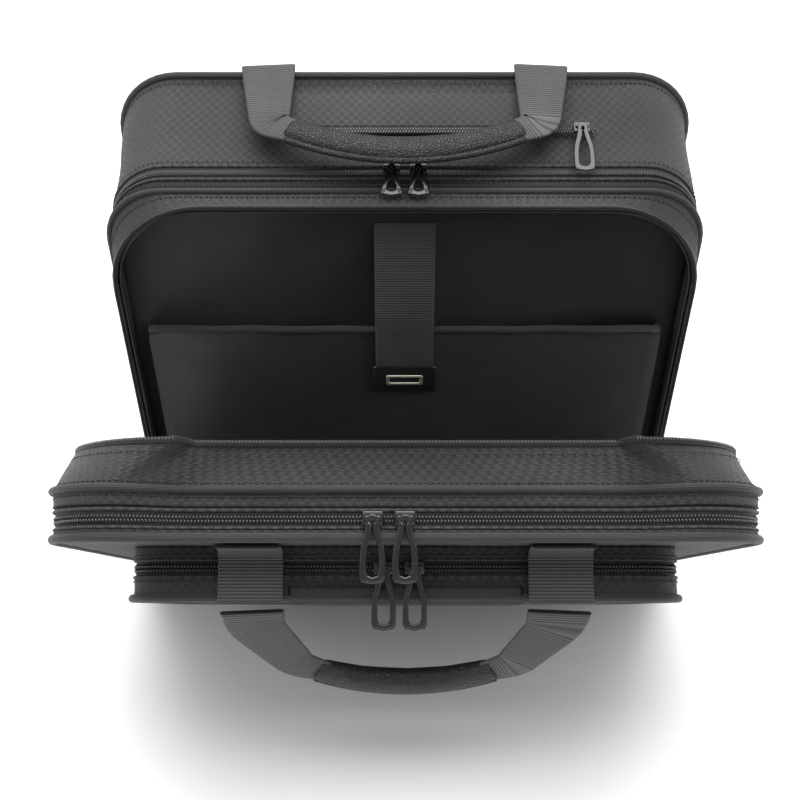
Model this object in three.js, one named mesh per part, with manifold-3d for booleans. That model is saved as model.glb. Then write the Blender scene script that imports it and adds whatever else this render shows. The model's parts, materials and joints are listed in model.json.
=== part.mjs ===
// Soft-sided flight bag, standing open: a deep rear section and a slimmer front section that
// tips forward about its lower front edge. Millimetres, +Z up, +X to the wearer's right,
// front of the bag towards -Y, origin under the middle of the open bag.
import * as THREE from 'three';
import { mergeVertices } from 'three/addons/utils/BufferGeometryUtils.js';
import Module from 'manifold-3d';

const wasm = await Module();
wasm.setup();

// ---------------------------------------------------------------- driving dimensions
const width = 430; // over the fabric, both sections
const rimHeight = 322; // height of the laptop zip above the base
const backRise = 44; // the back panel stands above the rim by this much
const backHeight = rimHeight + backRise;
const rearDepth = 110; // laptop zip to the outside of the back panel
const frontDepth = 60; // laptop zip to the outside of the front panel
const wall = 3; // gusset fabric with its foam
const gap = 0.3; // clearance between pieces that touch
const openAngle = 36.5; // tilt of the front section when open, degrees
const footHeight = 3;
const footRadius = 11;

const backCorner = 46; // corner radius of the back panel and its piping
const bodyCorner = 42; // corner radius of the other gussets
const rimCorner = 76; // corner radius of the open laptop zip
const baseCorner = 30; // lower corner radius
const earRise = 15; // the front section's top corners stand above its middle

const backPipingRadius = 2.6;
const rearPipingRadius = 2.2;
const frontPipingRadius = 3;
const coilHeight = 2; // one zip half, along the depth
const coilThickness = 3.2;
const zipTapeWidth = 9;

const mainZipY = 31; // middle of the main compartment's zip
const rearPipingY = 16;
const dividerThickness = 3;
const organiserPipingY = -30;
const organiserZipY = -47.5;

const sleeveWidth = 396;
const sleeveHeight = 208;
const sleeveDepth = 13;
const sleevePadding = 4;

const retentionWidth = 45;
const retentionThickness = 2;
const retentionBelowRim = 22;
const retentionLength = 128;
const retentionTop = rimHeight - retentionBelowRim;
const retentionBottom = retentionTop - retentionLength;
const buckleHeight = 26;

const pocketWidth = 345;
const pocketBelowRim = 38;
const pocketTop = rimHeight - pocketBelowRim;
const pocketBottom = 58;
const pocketDepth = 35;
const pocketCorner = 26;

const webbingWidth = 40;
const webbingThickness = 2.4;
const frontStrapX = 95;
const rearStrapX = 101;
const frontGripHalf = 58;
const rearGripHalf = 84;

const tipRadius = 10; // rounding of the lower front edge, on which the front section tips
const tipY = -(frontDepth - tipRadius);
const tipZ = tipRadius;

// ---------------------------------------------------------------- materials
function finish(colour, roughness, metalness = 0) {
  return new THREE.MeshStandardMaterial({ color: colour, roughness, metalness });
}
const finishes = {
  ballistic: () => finish('#2d2c2f', 0.85),
  binding: () => finish('#232225', 0.8),
  lining: () => finish('#26252b', 0.5),
  webbing: () => finish('#353437', 0.75),
  tape: () => finish('#2a292c', 0.8),
  coil: () => finish('#39383c', 0.45),
  metal: () => finish('#1d1b1c', 0.25, 0.9),
  leather: () => finish('#2c2728', 0.55),
  trim: () => finish('#3a322f', 0.5),
  plastic: () => finish('#1b1b1d', 0.5),
  silver: () => finish('#c9c4b6', 0.3, 1),
  rubber: () => finish('#1a1a1a', 0.9),
  board: () => finish('#3b3836', 0.9),
};

// ---------------------------------------------------------------- outlines
const SIDE = 3;
const CORNER = 4;
const TOP = 12;
const BOTTOM = 2;
const LOOP = 2 * SIDE + 4 * CORNER + TOP + BOTTOM;
const OVER_THE_TOP = 2 * SIDE + 2 * CORNER + TOP; // segments from one side's foot over to the other's

/** Rounded outline in x and z, clockwise from the left side's foot, always LOOP points. */
function outline({ half, bottom, top, corner, foot = baseCorner, ear = 0 }) {
  const points = [];
  const flat = half * 0.6;
  const crown = (x) => {
    const t = Math.min(Math.max((Math.abs(x) - flat) / (half - corner - flat), 0), 1);
    return top - ear + ear * t * t * (3 - 2 * t);
  };
  const line = (x0, z0, x1, z1, count) => {
    for (let i = 0; i < count; i += 1) {
      const t = i / count;
      points.push(new THREE.Vector2(x0 + (x1 - x0) * t, z0 + (z1 - z0) * t));
    }
  };
  const arc = (cx, cz, radius, from) => {
    for (let i = 0; i < CORNER; i += 1) {
      const angle = from - (Math.PI / 2) * (i / CORNER);
      points.push(new THREE.Vector2(cx + radius * Math.cos(angle), cz + radius * Math.sin(angle)));
    }
  };
  line(-half, bottom + foot, -half, top - corner, SIDE);
  arc(-half + corner, top - corner, corner, Math.PI);
  for (let i = 0; i < TOP; i += 1) {
    const x = (half - corner) * (-1 + (2 * i) / TOP);
    points.push(new THREE.Vector2(x, crown(x)));
  }
  arc(half - corner, top - corner, corner, Math.PI / 2);
  line(half, top - corner, half, bottom + foot, SIDE);
  arc(half - foot, bottom + foot, foot, 0);
  line(half - foot, bottom, -half + foot, bottom, BOTTOM);
  arc(-half + foot, bottom + foot, foot, -Math.PI / 2);
  return points;
}

/** The outline moved inwards by a distance, along its own normals. */
function inset(points, distance) {
  const count = points.length;
  return points.map((point, i) => {
    const before = points[(i + count - 1) % count];
    const after = points[(i + 1) % count];
    const along = new THREE.Vector2().subVectors(after, before).normalize();
    return new THREE.Vector2(point.x + along.y * distance, point.y - along.x * distance);
  });
}

/** Part way between two outlines. */
function between(a, b, t) {
  return a.map((point, i) => point.clone().lerp(b[i], t));
}

// ---------------------------------------------------------------- solids
/** Closed solid through equal sections of points; it joins its own start when closed. */
function loft(sections, closed = false) {
  const size = sections[0].length;
  const positions = sections.flatMap((section) => section.flatMap((p) => [p.x, p.y, p.z]));
  const faces = [];
  const last = closed ? sections.length : sections.length - 1;
  for (let i = 0; i < last; i += 1) {
    const next = (i + 1) % sections.length;
    for (let j = 0; j < size; j += 1) {
      const k = (j + 1) % size;
      const [a, b, c, d] = [i * size + j, i * size + k, next * size + k, next * size + j];
      faces.push(a, b, c, a, c, d);
    }
  }
  if (!closed) {
    const base = (sections.length - 1) * size;
    for (let j = 0; j < size / 2 - 1; j += 1) {
      const [a, b, c, d] = [j, j + 1, size - 2 - j, size - 1 - j];
      faces.push(a, c, b, a, d, c);
      faces.push(base + a, base + b, base + c, base + a, base + c, base + d);
    }
  }
  const geometry = new THREE.BufferGeometry();
  geometry.setAttribute('position', new THREE.Float32BufferAttribute(positions, 3));
  geometry.setIndex(facingOut(positions, faces));
  return geometry;
}

/** The faces, turned over if they enclose a negative volume. */
function facingOut(positions, faces) {
  const at = (i) => new THREE.Vector3().fromArray(positions, 3 * i);
  let volume = 0;
  for (let i = 0; i < faces.length; i += 3) {
    const [a, b, c] = [at(faces[i]), at(faces[i + 1]), at(faces[i + 2])];
    volume += a.dot(b.cross(c));
  }
  if (volume >= 0) return faces;
  const turned = [];
  for (let i = 0; i < faces.length; i += 3) turned.push(faces[i], faces[i + 2], faces[i + 1]);
  return turned;
}

/** Band of fabric that follows outlines at several depths, from one point of the loop to another. */
function band(stations, thickness = wall, from = 0, to = LOOP) {
  const inner = stations.map((station) => inset(station.ring, thickness));
  const closed = to - from === LOOP;
  const sections = [];
  for (let i = from; i < to + (closed ? 0 : 1); i += 1) {
    const k = i % LOOP;
    const outside = stations.map(({ y, ring }) => new THREE.Vector3(ring[k].x, y, ring[k].y));
    const inside = stations.map(({ y }, s) => new THREE.Vector3(inner[s][k].x, y, inner[s][k].y));
    sections.push([...outside, ...inside.reverse()]);
  }
  return loft(sections, closed);
}

/** Round cord sewn along an outline. */
function piping(ring, y, radius, sides = 6) {
  const outer = inset(ring, -radius);
  const sections = ring.map((centre, i) => {
    const out = new THREE.Vector2().subVectors(outer[i], centre);
    const at = (c, s) => new THREE.Vector3(centre.x + out.x * c, y + radius * s, centre.y + out.y * c);
    return circle(sides, at);
  });
  return loft(sections, true);
}

/** Points of a circle, each made from its cosine and sine. */
function circle(sides, place) {
  return Array.from({ length: sides }, (_, i) => {
    const angle = (2 * Math.PI * (i + 0.5)) / sides;
    return place(Math.cos(angle), Math.sin(angle));
  });
}

/** Flat panel of an outline in x and z, between two depths. */
function panel(ring, yFront, yBack, holes = []) {
  const shape = new THREE.Shape(ring);
  holes.forEach((hole) => shape.holes.push(new THREE.Path(hole)));
  const geometry = new THREE.ExtrudeGeometry(shape, { depth: yBack - yFront, bevelEnabled: false });
  return geometry.rotateX(Math.PI / 2).translate(0, yBack, 0);
}

/** Ribbon through stations of { at, across, width, thickness }, flat or turning in its plane. */
function ribbon(stations) {
  const sections = stations.map(({ at, across, width: wide, thickness = webbingThickness }, i) => {
    const before = stations[Math.max(i - 1, 0)].at;
    const after = stations[Math.min(i + 1, stations.length - 1)].at;
    const along = new THREE.Vector3().subVectors(after, before).normalize();
    const side = across.clone().addScaledVector(along, -across.dot(along)).normalize();
    const face = new THREE.Vector3().crossVectors(along, side).normalize();
    return [[-1, -1], [1, -1], [1, 1], [-1, 1]].map(([u, v]) =>
      at.clone().addScaledVector(side, (u * wide) / 2).addScaledVector(face, (v * thickness) / 2));
  });
  return loft(sections);
}

/** Rounded grip swept along a path, its section an oval. */
function sweptGrip(path, wide, thick, steps = 12, sides = 8) {
  const sections = [];
  for (let i = 0; i <= steps; i += 1) {
    const t = i / steps;
    const at = path.getPoint(t);
    const along = path.getTangent(t);
    const face = new THREE.Vector3(0, 1, 0);
    const side = new THREE.Vector3().crossVectors(along, face).normalize();
    sections.push(circle(sides, (c, s) => at.clone()
      .addScaledVector(side, (wide / 2) * c).addScaledVector(face, (thick / 2) * s)));
  }
  return loft(sections);
}

/** Block with rounded vertical edges, its middle at the origin. */
function roundedBlock(sizeX, sizeY, sizeZ, radius) {
  const shape = new THREE.Shape();
  const [x, y] = [sizeX / 2, sizeY / 2];
  shape.moveTo(-x + radius, -y);
  shape.lineTo(x - radius, -y);
  shape.absarc(x - radius, -y + radius, radius, -Math.PI / 2, 0);
  shape.lineTo(x, y - radius);
  shape.absarc(x - radius, y - radius, radius, 0, Math.PI / 2);
  shape.lineTo(-x + radius, y);
  shape.absarc(-x + radius, y - radius, radius, Math.PI / 2, Math.PI);
  shape.lineTo(-x, -y + radius);
  shape.absarc(-x + radius, -y + radius, radius, Math.PI, 1.5 * Math.PI);
  const settings = { depth: sizeZ, bevelEnabled: false, curveSegments: 2 };
  return new THREE.ExtrudeGeometry(shape, settings).translate(0, 0, -sizeZ / 2);
}

/** Solid for cutting and joining, made from a closed geometry. */
function solid(geometry) {
  const plain = geometry.clone();
  plain.deleteAttribute('normal');
  plain.deleteAttribute('uv');
  const merged = mergeVertices(plain, 1e-4);
  const triVerts = Uint32Array.from(merged.index.array);
  const vertProperties = Float32Array.from(merged.attributes.position.array);
  return new wasm.Manifold(new wasm.Mesh({ numProp: 3, vertProperties, triVerts }));
}

/** Geometry of a solid that was cut or joined. */
function geometryOf(body) {
  const { vertProperties, triVerts } = body.getMesh();
  const geometry = new THREE.BufferGeometry();
  geometry.setAttribute('position', new THREE.BufferAttribute(vertProperties, 3));
  geometry.setIndex(new THREE.BufferAttribute(triVerts, 1));
  return geometry;
}

/** Puts a named piece in a group. */
function add(parent, name, geometry, material) {
  const piece = new THREE.Mesh(geometry, material);
  piece.name = name;
  parent.add(piece);
  return piece;
}

// ---------------------------------------------------------------- outlines of the two sections
const rearBase = footHeight;
const backRing = outline({ half: width / 2, bottom: rearBase, top: backHeight, corner: backCorner });
const rearSeamRing = outline({
  half: width / 2, bottom: rearBase, top: rimHeight + 4, corner: bodyCorner,
});
const rearRimRing = outline({
  half: width / 2, bottom: rearBase, top: rimHeight, corner: rimCorner,
});
const frontRimRing = outline({
  half: width / 2 - 6, bottom: 0, top: rimHeight + earRise, corner: rimCorner, ear: earRise,
});
const frontSeamRing = outline({
  half: width / 2, bottom: 0, top: rimHeight + earRise, corner: bodyCorner, ear: earRise,
});

/** The rear gusset's outline at a depth, between the seam and the back panel. */
function rearRingAt(y) {
  return between(rearSeamRing, backRing, (y - rearPipingY) / (rearDepth - rearPipingY));
}

/** The front gusset's outline at a depth, rounded under at the lower front edge. */
function frontRingAt(y) {
  if (y > organiserPipingY) return between(frontSeamRing, frontRimRing, 1 - y / organiserPipingY);
  const t = (y - organiserPipingY) / (-frontDepth - organiserPipingY);
  const under = Math.max(tipY - y, 0);
  const lift = tipRadius - Math.sqrt(tipRadius ** 2 - Math.min(under, tipRadius) ** 2);
  const straight = outline({
    half: width / 2, bottom: 0, top: rimHeight + earRise * (1 - 0.4 * t), corner: bodyCorner,
    ear: earRise * (1 - 0.4 * t),
  });
  return straight.map((point) => new THREE.Vector2(point.x, Math.max(point.y, lift)));
}

/** Stations of a gusset between two depths. */
function stationsOf(ringAt, depths) {
  return depths.map((y) => ({ y, ring: ringAt(y) }));
}

// ---------------------------------------------------------------- zips
const sliderLength = 13;
const sliderWidth = 9;
const sliderThickness = 4;
const pullerWidth = 15;
const pullerLength = 38;
const pullerThickness = 1.6;
const eyeHeight = 1.7; // the puller's hinge above its slider
const eyeOverhang = 1.4; // the puller's ears reach this far past their hinge

/** Slider body with the arched bridge that its puller hangs from, running along x. */
function sliderGeometry() {
  const body = solid(roundedBlock(sliderLength, sliderWidth, sliderThickness, 2.5));
  const bridge = new THREE.BoxGeometry(7, 3.6, 4).translate(0, 0, sliderThickness / 2 + 1.6);
  const eye = new THREE.CylinderGeometry(1.3, 1.3, 12, 8).rotateZ(Math.PI / 2);
  eye.translate(0, 0, sliderThickness / 2 + eyeHeight);
  return geometryOf(body.add(solid(bridge)).subtract(solid(eye)));
}

/** Flat puller with a long slot at its free end, hanging down -z from its hinge at the origin. */
function pullerGeometry(length = pullerLength) {
  const plate = roundedBlock(pullerWidth, length, pullerThickness, 3).rotateX(Math.PI / 2);
  plate.translate(0, 0, -length / 2 + eyeOverhang);
  const slot = roundedBlock(pullerWidth - 5, length * 0.32, 6, 1.5).rotateX(Math.PI / 2);
  slot.translate(0, 0, -length * 0.8 + eyeOverhang);
  const mouth = new THREE.BoxGeometry(7.8, 8, 5.4).translate(0, 0, -0.6);
  const pin = new THREE.CylinderGeometry(0.75, 0.75, pullerWidth - 1, 6).rotateZ(Math.PI / 2);
  const plateBody = solid(plate).subtract(solid(slot)).subtract(solid(mouth));
  return geometryOf(plateBody.add(solid(pin)));
}

/** Raised teeth of a closed zip, over the top of a gusset. */
function coilOver(ringAt, y) {
  const ridge = [y - 2.2, y + 2.2].map((depth) => ({ y: depth, ring: inset(ringAt(depth), -1.5) }));
  return band(ridge, 1.5 - gap, 1, OVER_THE_TOP - 1);
}

/** A slider on a zip and the puller hinged on it, at a place on the top of a gusset. */
function zipPull(parent, name, { x, y, z, slope, drop, length = pullerLength }) {
  const slider = new THREE.Group();
  slider.position.set(x, y, z);
  slider.rotation.x = slope;
  slider.updateMatrix();
  parent.add(slider);
  add(slider, `${name}_slider`, sliderGeometry(), finishes.metal());
  const puller = new THREE.Group();
  puller.position.set(0, 0, sliderThickness / 2 + eyeHeight);
  puller.rotation.x = drop - Math.PI / 2;
  slider.add(puller);
  add(puller, `${name}_puller`, pullerGeometry(length), finishes.metal());
}

const degrees = Math.PI / 180;
const coilTop = 1.5; // how far a coil stands proud of its tape
const sliderLift = coilTop + gap + sliderThickness / 2;
const zipPairSpacing = 19; // between the two sliders of one zip

// ---------------------------------------------------------------- rear section
const bag = new THREE.Group();
const rear = new THREE.Group();
bag.add(rear);

const tapeFront = rearPipingY + rearPipingRadius + gap;
const tapeBack = mainZipY + zipTapeWidth / 2;
const rearSlope = Math.atan2(backHeight - rimHeight - 4, rearDepth - rearPipingY);
const panelThickness = 4;

/** Height of the rear gusset's top at a depth. */
function rearTopAt(y) {
  return rimHeight + 4 + (y - rearPipingY) * Math.tan(rearSlope);
}

function buildRearShell() {
  const gussetEnd = rearDepth - backPipingRadius - gap;
  const gussetRings = stationsOf(rearRingAt, [tapeBack + gap, gussetEnd]);
  add(rear, 'rear_gusset', band(gussetRings), finishes.ballistic());
  add(rear, 'main_zip_tape', band(stationsOf(rearRingAt, [tapeFront, tapeBack])), finishes.tape());
  add(rear, 'main_zip_coil', coilOver(rearRingAt, mainZipY), finishes.coil());
  add(rear, 'rear_piping', piping(rearSeamRing, rearPipingY, rearPipingRadius), finishes.binding());
  add(rear, 'back_piping', piping(backRing, rearDepth, backPipingRadius), finishes.binding());
  const backInset = inset(backRing, backPipingRadius + gap + 0.4);
  const backPanel = panel(backInset, rearDepth - panelThickness / 2, rearDepth + panelThickness / 2);
  add(rear, 'back_panel', backPanel, finishes.ballistic());
  const laptopRings = [
    { y: coilHeight + 2 * gap, ring: rearRimRing },
    { y: rearPipingY - rearPipingRadius - gap, ring: rearSeamRing },
  ];
  add(rear, 'laptop_gusset_rear', band(laptopRings), finishes.ballistic());
  const teeth = [{ y: gap / 2, ring: rearRimRing }, { y: coilHeight + gap, ring: rearRimRing }];
  const rearTeeth = band(teeth, coilThickness, 1, OVER_THE_TOP - 1);
  add(rear, 'laptop_zip_rear', rearTeeth, finishes.coil());
  const dividerRing = inset(rearSeamRing, wall + gap + 0.7);
  const dividerFront = rearPipingY + 2;
  const divider = panel(dividerRing, dividerFront, dividerFront + dividerThickness);
  add(rear, 'divider_panel', divider, finishes.lining());
  const boardDepth = rearDepth - dividerFront - dividerThickness - panelThickness - 4;
  const board = new THREE.BoxGeometry(width - 2 * baseCorner - 10, boardDepth, 3);
  const boardY = (dividerFront + dividerThickness + rearDepth - panelThickness) / 2;
  board.translate(0, boardY, rearBase + wall + gap + 1.5);
  add(rear, 'base_board', board, finishes.board());
  return dividerFront;
}

function buildFeet() {
  const footX = width / 2 - baseCorner - 25;
  const names = ['left', 'right'];
  [-1, 1].forEach((side, i) => {
    [tapeBack + 2 + footRadius, rearDepth - 8 - footRadius].forEach((y, j) => {
      const height = footHeight - gap;
      const foot = new THREE.CylinderGeometry(footRadius, footRadius - 2, height, 16);
      foot.rotateX(Math.PI / 2).translate(side * footX, y, height / 2);
      add(rear, `foot_${names[i]}_${j ? 'rear' : 'front'}`, foot, finishes.rubber());
    });
  });
}

/** Padded sleeve for the laptop, open at the top, on the front of the divider. */
function buildSleeve(dividerFront) {
  const back = dividerFront - gap;
  const front = back - sleeveDepth;
  const half = sleeveWidth / 2;
  const sleeve = new THREE.Shape([
    [-half, back], [-half, front], [half, front], [half, back],
    [half - sleevePadding, back], [half - sleevePadding, front + sleevePadding],
    [-half + sleevePadding, front + sleevePadding], [-half + sleevePadding, back],
  ].map(([x, y]) => new THREE.Vector2(x, y)));
  const bottom = rearBase + 0.7 * baseCorner;
  const wallsHeight = sleeveHeight - bottom;
  const walls = new THREE.ExtrudeGeometry(sleeve, { depth: wallsHeight, bevelEnabled: false });
  walls.translate(0, 0, bottom);
  add(rear, 'laptop_sleeve', walls, finishes.lining());
  return front;
}

/** Webbing strap that holds the laptop in, with its buckle. */
function buildRetention(dividerFront, sleeveFront) {
  const top = new THREE.Vector3(0, dividerFront - 1.8, retentionTop);
  const lip = new THREE.Vector3(0, sleeveFront - 2.2, sleeveHeight + 12);
  const end = new THREE.Vector3(0, sleeveFront - 2.2, retentionBottom);
  const across = new THREE.Vector3(1, 0, 0);
  const stations = [top, lip, end].map((at) => (
    { at, across, width: retentionWidth, thickness: retentionThickness }));
  add(rear, 'retention_strap', ribbon(stations), finishes.webbing());
  const buckle = roundedBlock(retentionWidth + 5, buckleHeight, 4, 3).rotateX(Math.PI / 2);
  const window = new THREE.BoxGeometry(30, 8, 11);
  const buckleSolid = solid(buckle).subtract(solid(window));
  const buckleZ = retentionBottom - gap - buckleHeight / 2;
  const buckleBody = geometryOf(buckleSolid).translate(0, sleeveFront - 2.4, buckleZ);
  add(rear, 'retention_buckle', buckleBody, finishes.plastic());
  const frame = solid(new THREE.BoxGeometry(29.2, 1.6, 10.2));
  const opening = solid(new THREE.BoxGeometry(24, 8, 5.6));
  const frameBody = geometryOf(frame.subtract(opening)).translate(0, sleeveFront - 3.2, buckleZ);
  add(rear, 'buckle_frame', frameBody, finishes.silver());
}

const hatchWidth = 176; // quick-access pocket on the top gusset
const hatchDepth = 30;
const hatchY = 80;
const hatchTail = 40; // its zip runs on to the right, past the handle's strap

/** Quick-access pocket let into the top of the rear gusset, with a zip along its front. */
function buildHatch() {
  const lid = new THREE.Group();
  lid.position.set(0, hatchY, rearTopAt(hatchY));
  lid.rotation.x = rearSlope;
  rear.add(lid);
  const flap = roundedBlock(hatchWidth, hatchDepth, 1.6, 8).translate(0, 0, 1.6 / 2 + gap);
  add(lid, 'hatch_flap', flap, finishes.ballistic());
  const teeth = new THREE.BoxGeometry(hatchWidth + 20 + hatchTail, 4.4, 1.4);
  teeth.translate(hatchTail / 2, -hatchDepth / 2 - 2.5 - gap, 0.7 + gap);
  add(lid, 'hatch_zip_coil', teeth, finishes.coil());
}

/** Two sliders with pullers on a zip that runs over the top of a gusset. */
function zipPair(parent, name, place) {
  zipPull(parent, `${name}_left`, { ...place, x: place.x - zipPairSpacing / 2 });
  zipPull(parent, `${name}_right`, { ...place, x: place.x + zipPairSpacing / 2 });
}

const mainPullerLength = 24;

function buildRearZips() {
  const rise = sliderLift;
  zipPair(rear, 'main_zip', {
    x: 0,
    y: mainZipY - rise * Math.sin(rearSlope),
    z: rearTopAt(mainZipY) + rise * Math.cos(rearSlope),
    slope: rearSlope,
    drop: 3 * degrees,
    length: mainPullerLength,
  });
  const hatchSliderY = hatchY - (hatchDepth / 2 + 2.5 + gap) * Math.cos(rearSlope);
  const lift = 1.4 + 2 * gap + sliderThickness / 2;
  zipPull(rear, 'hatch_zip', {
    x: hatchWidth / 2 + hatchTail,
    y: hatchSliderY - lift * Math.sin(rearSlope),
    z: rearTopAt(hatchSliderY) + lift * Math.cos(rearSlope),
    slope: rearSlope,
    drop: 4 * degrees,
    length: mainPullerLength,
  });
}

// ---------------------------------------------------------------- handles
const rearPivotY = rearDepth + panelThickness / 2 + 4;
const rearPivotZ = backHeight + 6;
const frontPivotY = -frontDepth - pocketDepth - 5;
const frontPivotZ = pocketTop - 4;
const gripThickness = 12;
const gripWidth = 24;
const sideways = new THREE.Vector3(1, 0, 0);

/** Webbing sewn behind the back panel, rising to the rear handle's fold. */
function buildRearAnchors() {
  const y = rearDepth + backPipingRadius + gap + webbingThickness / 2;
  [['left', -1], ['right', 1]].forEach(([name, side]) => {
    const stations = [rearPivotZ - 70, rearPivotZ - 3].map((z) => (
      { at: new THREE.Vector3(side * rearStrapX, y, z), across: sideways, width: webbingWidth }));
    add(rear, `rear_anchor_${name}`, ribbon(stations), finishes.webbing());
  });
}

/** Carry handle: two straps and a padded grip, in the plane it hangs in, down -z. */
function buildHandle(parent, name, { strapX, gripHalf, drop, sag, reach }) {
  const ends = new THREE.Vector3(gripHalf, 0, -drop - 4);
  const path = new THREE.QuadraticBezierCurve3(
    new THREE.Vector3(-ends.x, 0, ends.z),
    new THREE.Vector3(0, 0, ends.z - 2 * sag),
    ends,
  );
  add(parent, `${name}_grip`, sweptGrip(path, gripWidth, gripThickness), finishes.leather());
  const outwards = path.getTangent(1);
  [['left', -1], ['right', 1]].forEach(([sideName, side]) => {
    const away = new THREE.Vector3(side * outwards.x, 0, outwards.z);
    const grip = new THREE.Vector3(side * ends.x, 0, ends.z);
    const turned = new THREE.Vector3(away.z, 0, -away.x).multiplyScalar(-side);
    const fold = new THREE.Vector3(side * (strapX - 1), 0, -reach * 0.5);
    const stations = [
      { at: new THREE.Vector3(side * strapX, 0, -2), across: sideways, width: webbingWidth },
      { at: fold, across: sideways, width: webbingWidth - 2 },
      { at: grip.clone().addScaledVector(away, 14), across: turned, width: webbingWidth - 10 },
      { at: grip.clone().addScaledVector(away, gap), across: turned, width: gripWidth },
    ];
    add(parent, `${name}_strap_${sideName}`, ribbon(stations), finishes.webbing());
  });
}

// ---------------------------------------------------------------- front section
const front = new THREE.Group();
front.position.set(0, tipY, tipZ);
front.rotation.x = openAngle * degrees;
bag.add(front);
const frontParts = new THREE.Group(); // in the closed bag's own frame
frontParts.position.set(0, -tipY, -tipZ);
front.add(frontParts);

const seamPipingRadius = 2.2;
const organiserTapeBack = organiserZipY + 7.5;
const organiserTapeFront = organiserZipY - zipTapeWidth / 2 - 2;

function buildFrontShell() {
  const teeth = [-coilHeight - gap, -gap / 2].map((y) => ({ y, ring: frontRingAt(y) }));
  const frontTeeth = band(teeth, coilThickness, 1, OVER_THE_TOP - 1);
  add(frontParts, 'laptop_zip_front', frontTeeth, finishes.coil());
  const seamBack = organiserPipingY + seamPipingRadius + gap;
  const laptopDepths = [seamBack, -12, -coilHeight - 2 * gap];
  add(frontParts, 'laptop_gusset_front', band(stationsOf(frontRingAt, laptopDepths)), finishes.ballistic());
  const seam = piping(frontRingAt(organiserPipingY), organiserPipingY, seamPipingRadius);
  add(frontParts, 'organiser_piping', seam, finishes.binding());
  const seamFront = organiserPipingY - seamPipingRadius - gap;
  const stripRings = stationsOf((y) => inset(frontRingAt(y), 2), [organiserTapeBack + gap, seamFront]);
  add(frontParts, 'organiser_strip', band(stripRings), finishes.ballistic());
  const tapeRings = stationsOf(frontRingAt, [organiserTapeFront, organiserZipY, organiserTapeBack]);
  add(frontParts, 'organiser_zip_tape', band(tapeRings), finishes.tape());
  add(frontParts, 'organiser_zip_coil', coilOver(frontRingAt, organiserZipY), finishes.coil());
  const edgeBack = -frontDepth + frontPipingRadius + gap;
  const edgeDepths = [edgeBack, organiserTapeFront - gap];
  add(frontParts, 'front_edge_band', band(stationsOf(frontRingAt, edgeDepths)), finishes.ballistic());
  const edgeRing = frontRingAt(-frontDepth);
  add(frontParts, 'front_piping', piping(edgeRing, -frontDepth, frontPipingRadius), finishes.binding());
  const faceRing = inset(edgeRing, frontPipingRadius + gap + 0.5);
  const face = panel(faceRing, -frontDepth - 1.5, -frontDepth + 1.5);
  add(frontParts, 'front_panel', face, finishes.ballistic());
  const wallBack = organiserPipingY + 4 + dividerThickness;
  const wallRing = inset(frontRingAt(wallBack), wall + gap + 2.2);
  const organiserWall = panel(wallRing, wallBack - dividerThickness, wallBack);
  add(frontParts, 'organiser_wall', organiserWall, finishes.lining());
}

const pocketBack = -frontDepth - 1.5 - gap;
const pocketFront = -frontDepth - pocketDepth;
const pocketZipY = pocketBack - 13;
const pocketPipingRadius = 2;

/** Outline of the front pocket, the same at every depth. */
function pocketRing() {
  return outline({
    half: pocketWidth / 2, bottom: pocketBottom, top: pocketTop, corner: pocketCorner, foot: pocketCorner,
  });
}

function buildPocket() {
  const ring = pocketRing();
  const tapeEnd = pocketZipY - zipTapeWidth / 2 - 1;
  const pipingY = pocketFront + pocketPipingRadius;
  add(frontParts, 'pocket_zip_tape', band(stationsOf(() => ring, [tapeEnd, pocketBack])), finishes.tape());
  add(frontParts, 'pocket_zip_coil', coilOver(() => ring, pocketZipY), finishes.coil());
  const gussetDepths = [pipingY + pocketPipingRadius + gap, tapeEnd - gap];
  add(frontParts, 'pocket_gusset', band(stationsOf(() => ring, gussetDepths)), finishes.ballistic());
  add(frontParts, 'pocket_piping', piping(ring, pipingY, pocketPipingRadius), finishes.binding());
  const faceRing = inset(ring, pocketPipingRadius + gap + 0.3);
  add(frontParts, 'pocket_face', panel(faceRing, pipingY - 1.5, pipingY + 1.5), finishes.ballistic());
  buildTrim(pipingY);
}

/** Smooth patch folded over the pocket's upper front edge, between the handle's straps. */
function buildTrim(pipingY) {
  const half = frontStrapX - webbingWidth / 2 - 3;
  const top = pocketTop + pocketPipingRadius + gap;
  const nose = pipingY - pocketPipingRadius - gap;
  const thick = 1.4;
  const back = pocketZipY - 11;
  const profile = [
    [back, top], [nose, top], [nose, top - 24], [nose - thick, top - 24],
    [nose - thick, top + thick], [back, top + thick],
  ].map(([y, z]) => new THREE.Vector2(y, z));
  const settings = { depth: 2 * half, bevelEnabled: false };
  const trim = new THREE.ExtrudeGeometry(new THREE.Shape(profile), settings);
  trim.rotateY(Math.PI / 2).rotateX(Math.PI / 2);
  const placed = new THREE.Matrix4().makeTranslation(-half, 0, 0);
  add(frontParts, 'pocket_trim', trim.applyMatrix4(placed), finishes.trim());
}

function buildFrontZips() {
  const middleTop = rimHeight;
  zipPair(frontParts, 'organiser_zip', {
    x: -10, y: organiserZipY, z: middleTop + sliderLift, slope: 0, drop: 2 * degrees,
  });
  zipPair(frontParts, 'pocket_zip', {
    x: -4, y: pocketZipY, z: pocketTop + sliderLift, slope: 0, drop: 2 * degrees,
  });
}

/** Webbing sewn on the front panel and led over the pocket to the front handle. */
function buildFrontAnchors() {
  const panelY = -frontDepth - 1.5 - gap - webbingThickness / 2 - 0.1;
  const over = pocketTop + 5;
  const route = [
    [panelY, rimHeight - 8], [panelY, over + 5], [panelY - 5, over], [frontPivotY + 4, over],
  ];
  [['left', -1], ['right', 1]].forEach(([name, side]) => {
    const stations = route.map(([y, z]) => (
      { at: new THREE.Vector3(side * frontStrapX, y, z), across: sideways, width: webbingWidth }));
    add(frontParts, `front_anchor_${name}`, ribbon(stations), finishes.webbing());
  });
}

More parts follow.
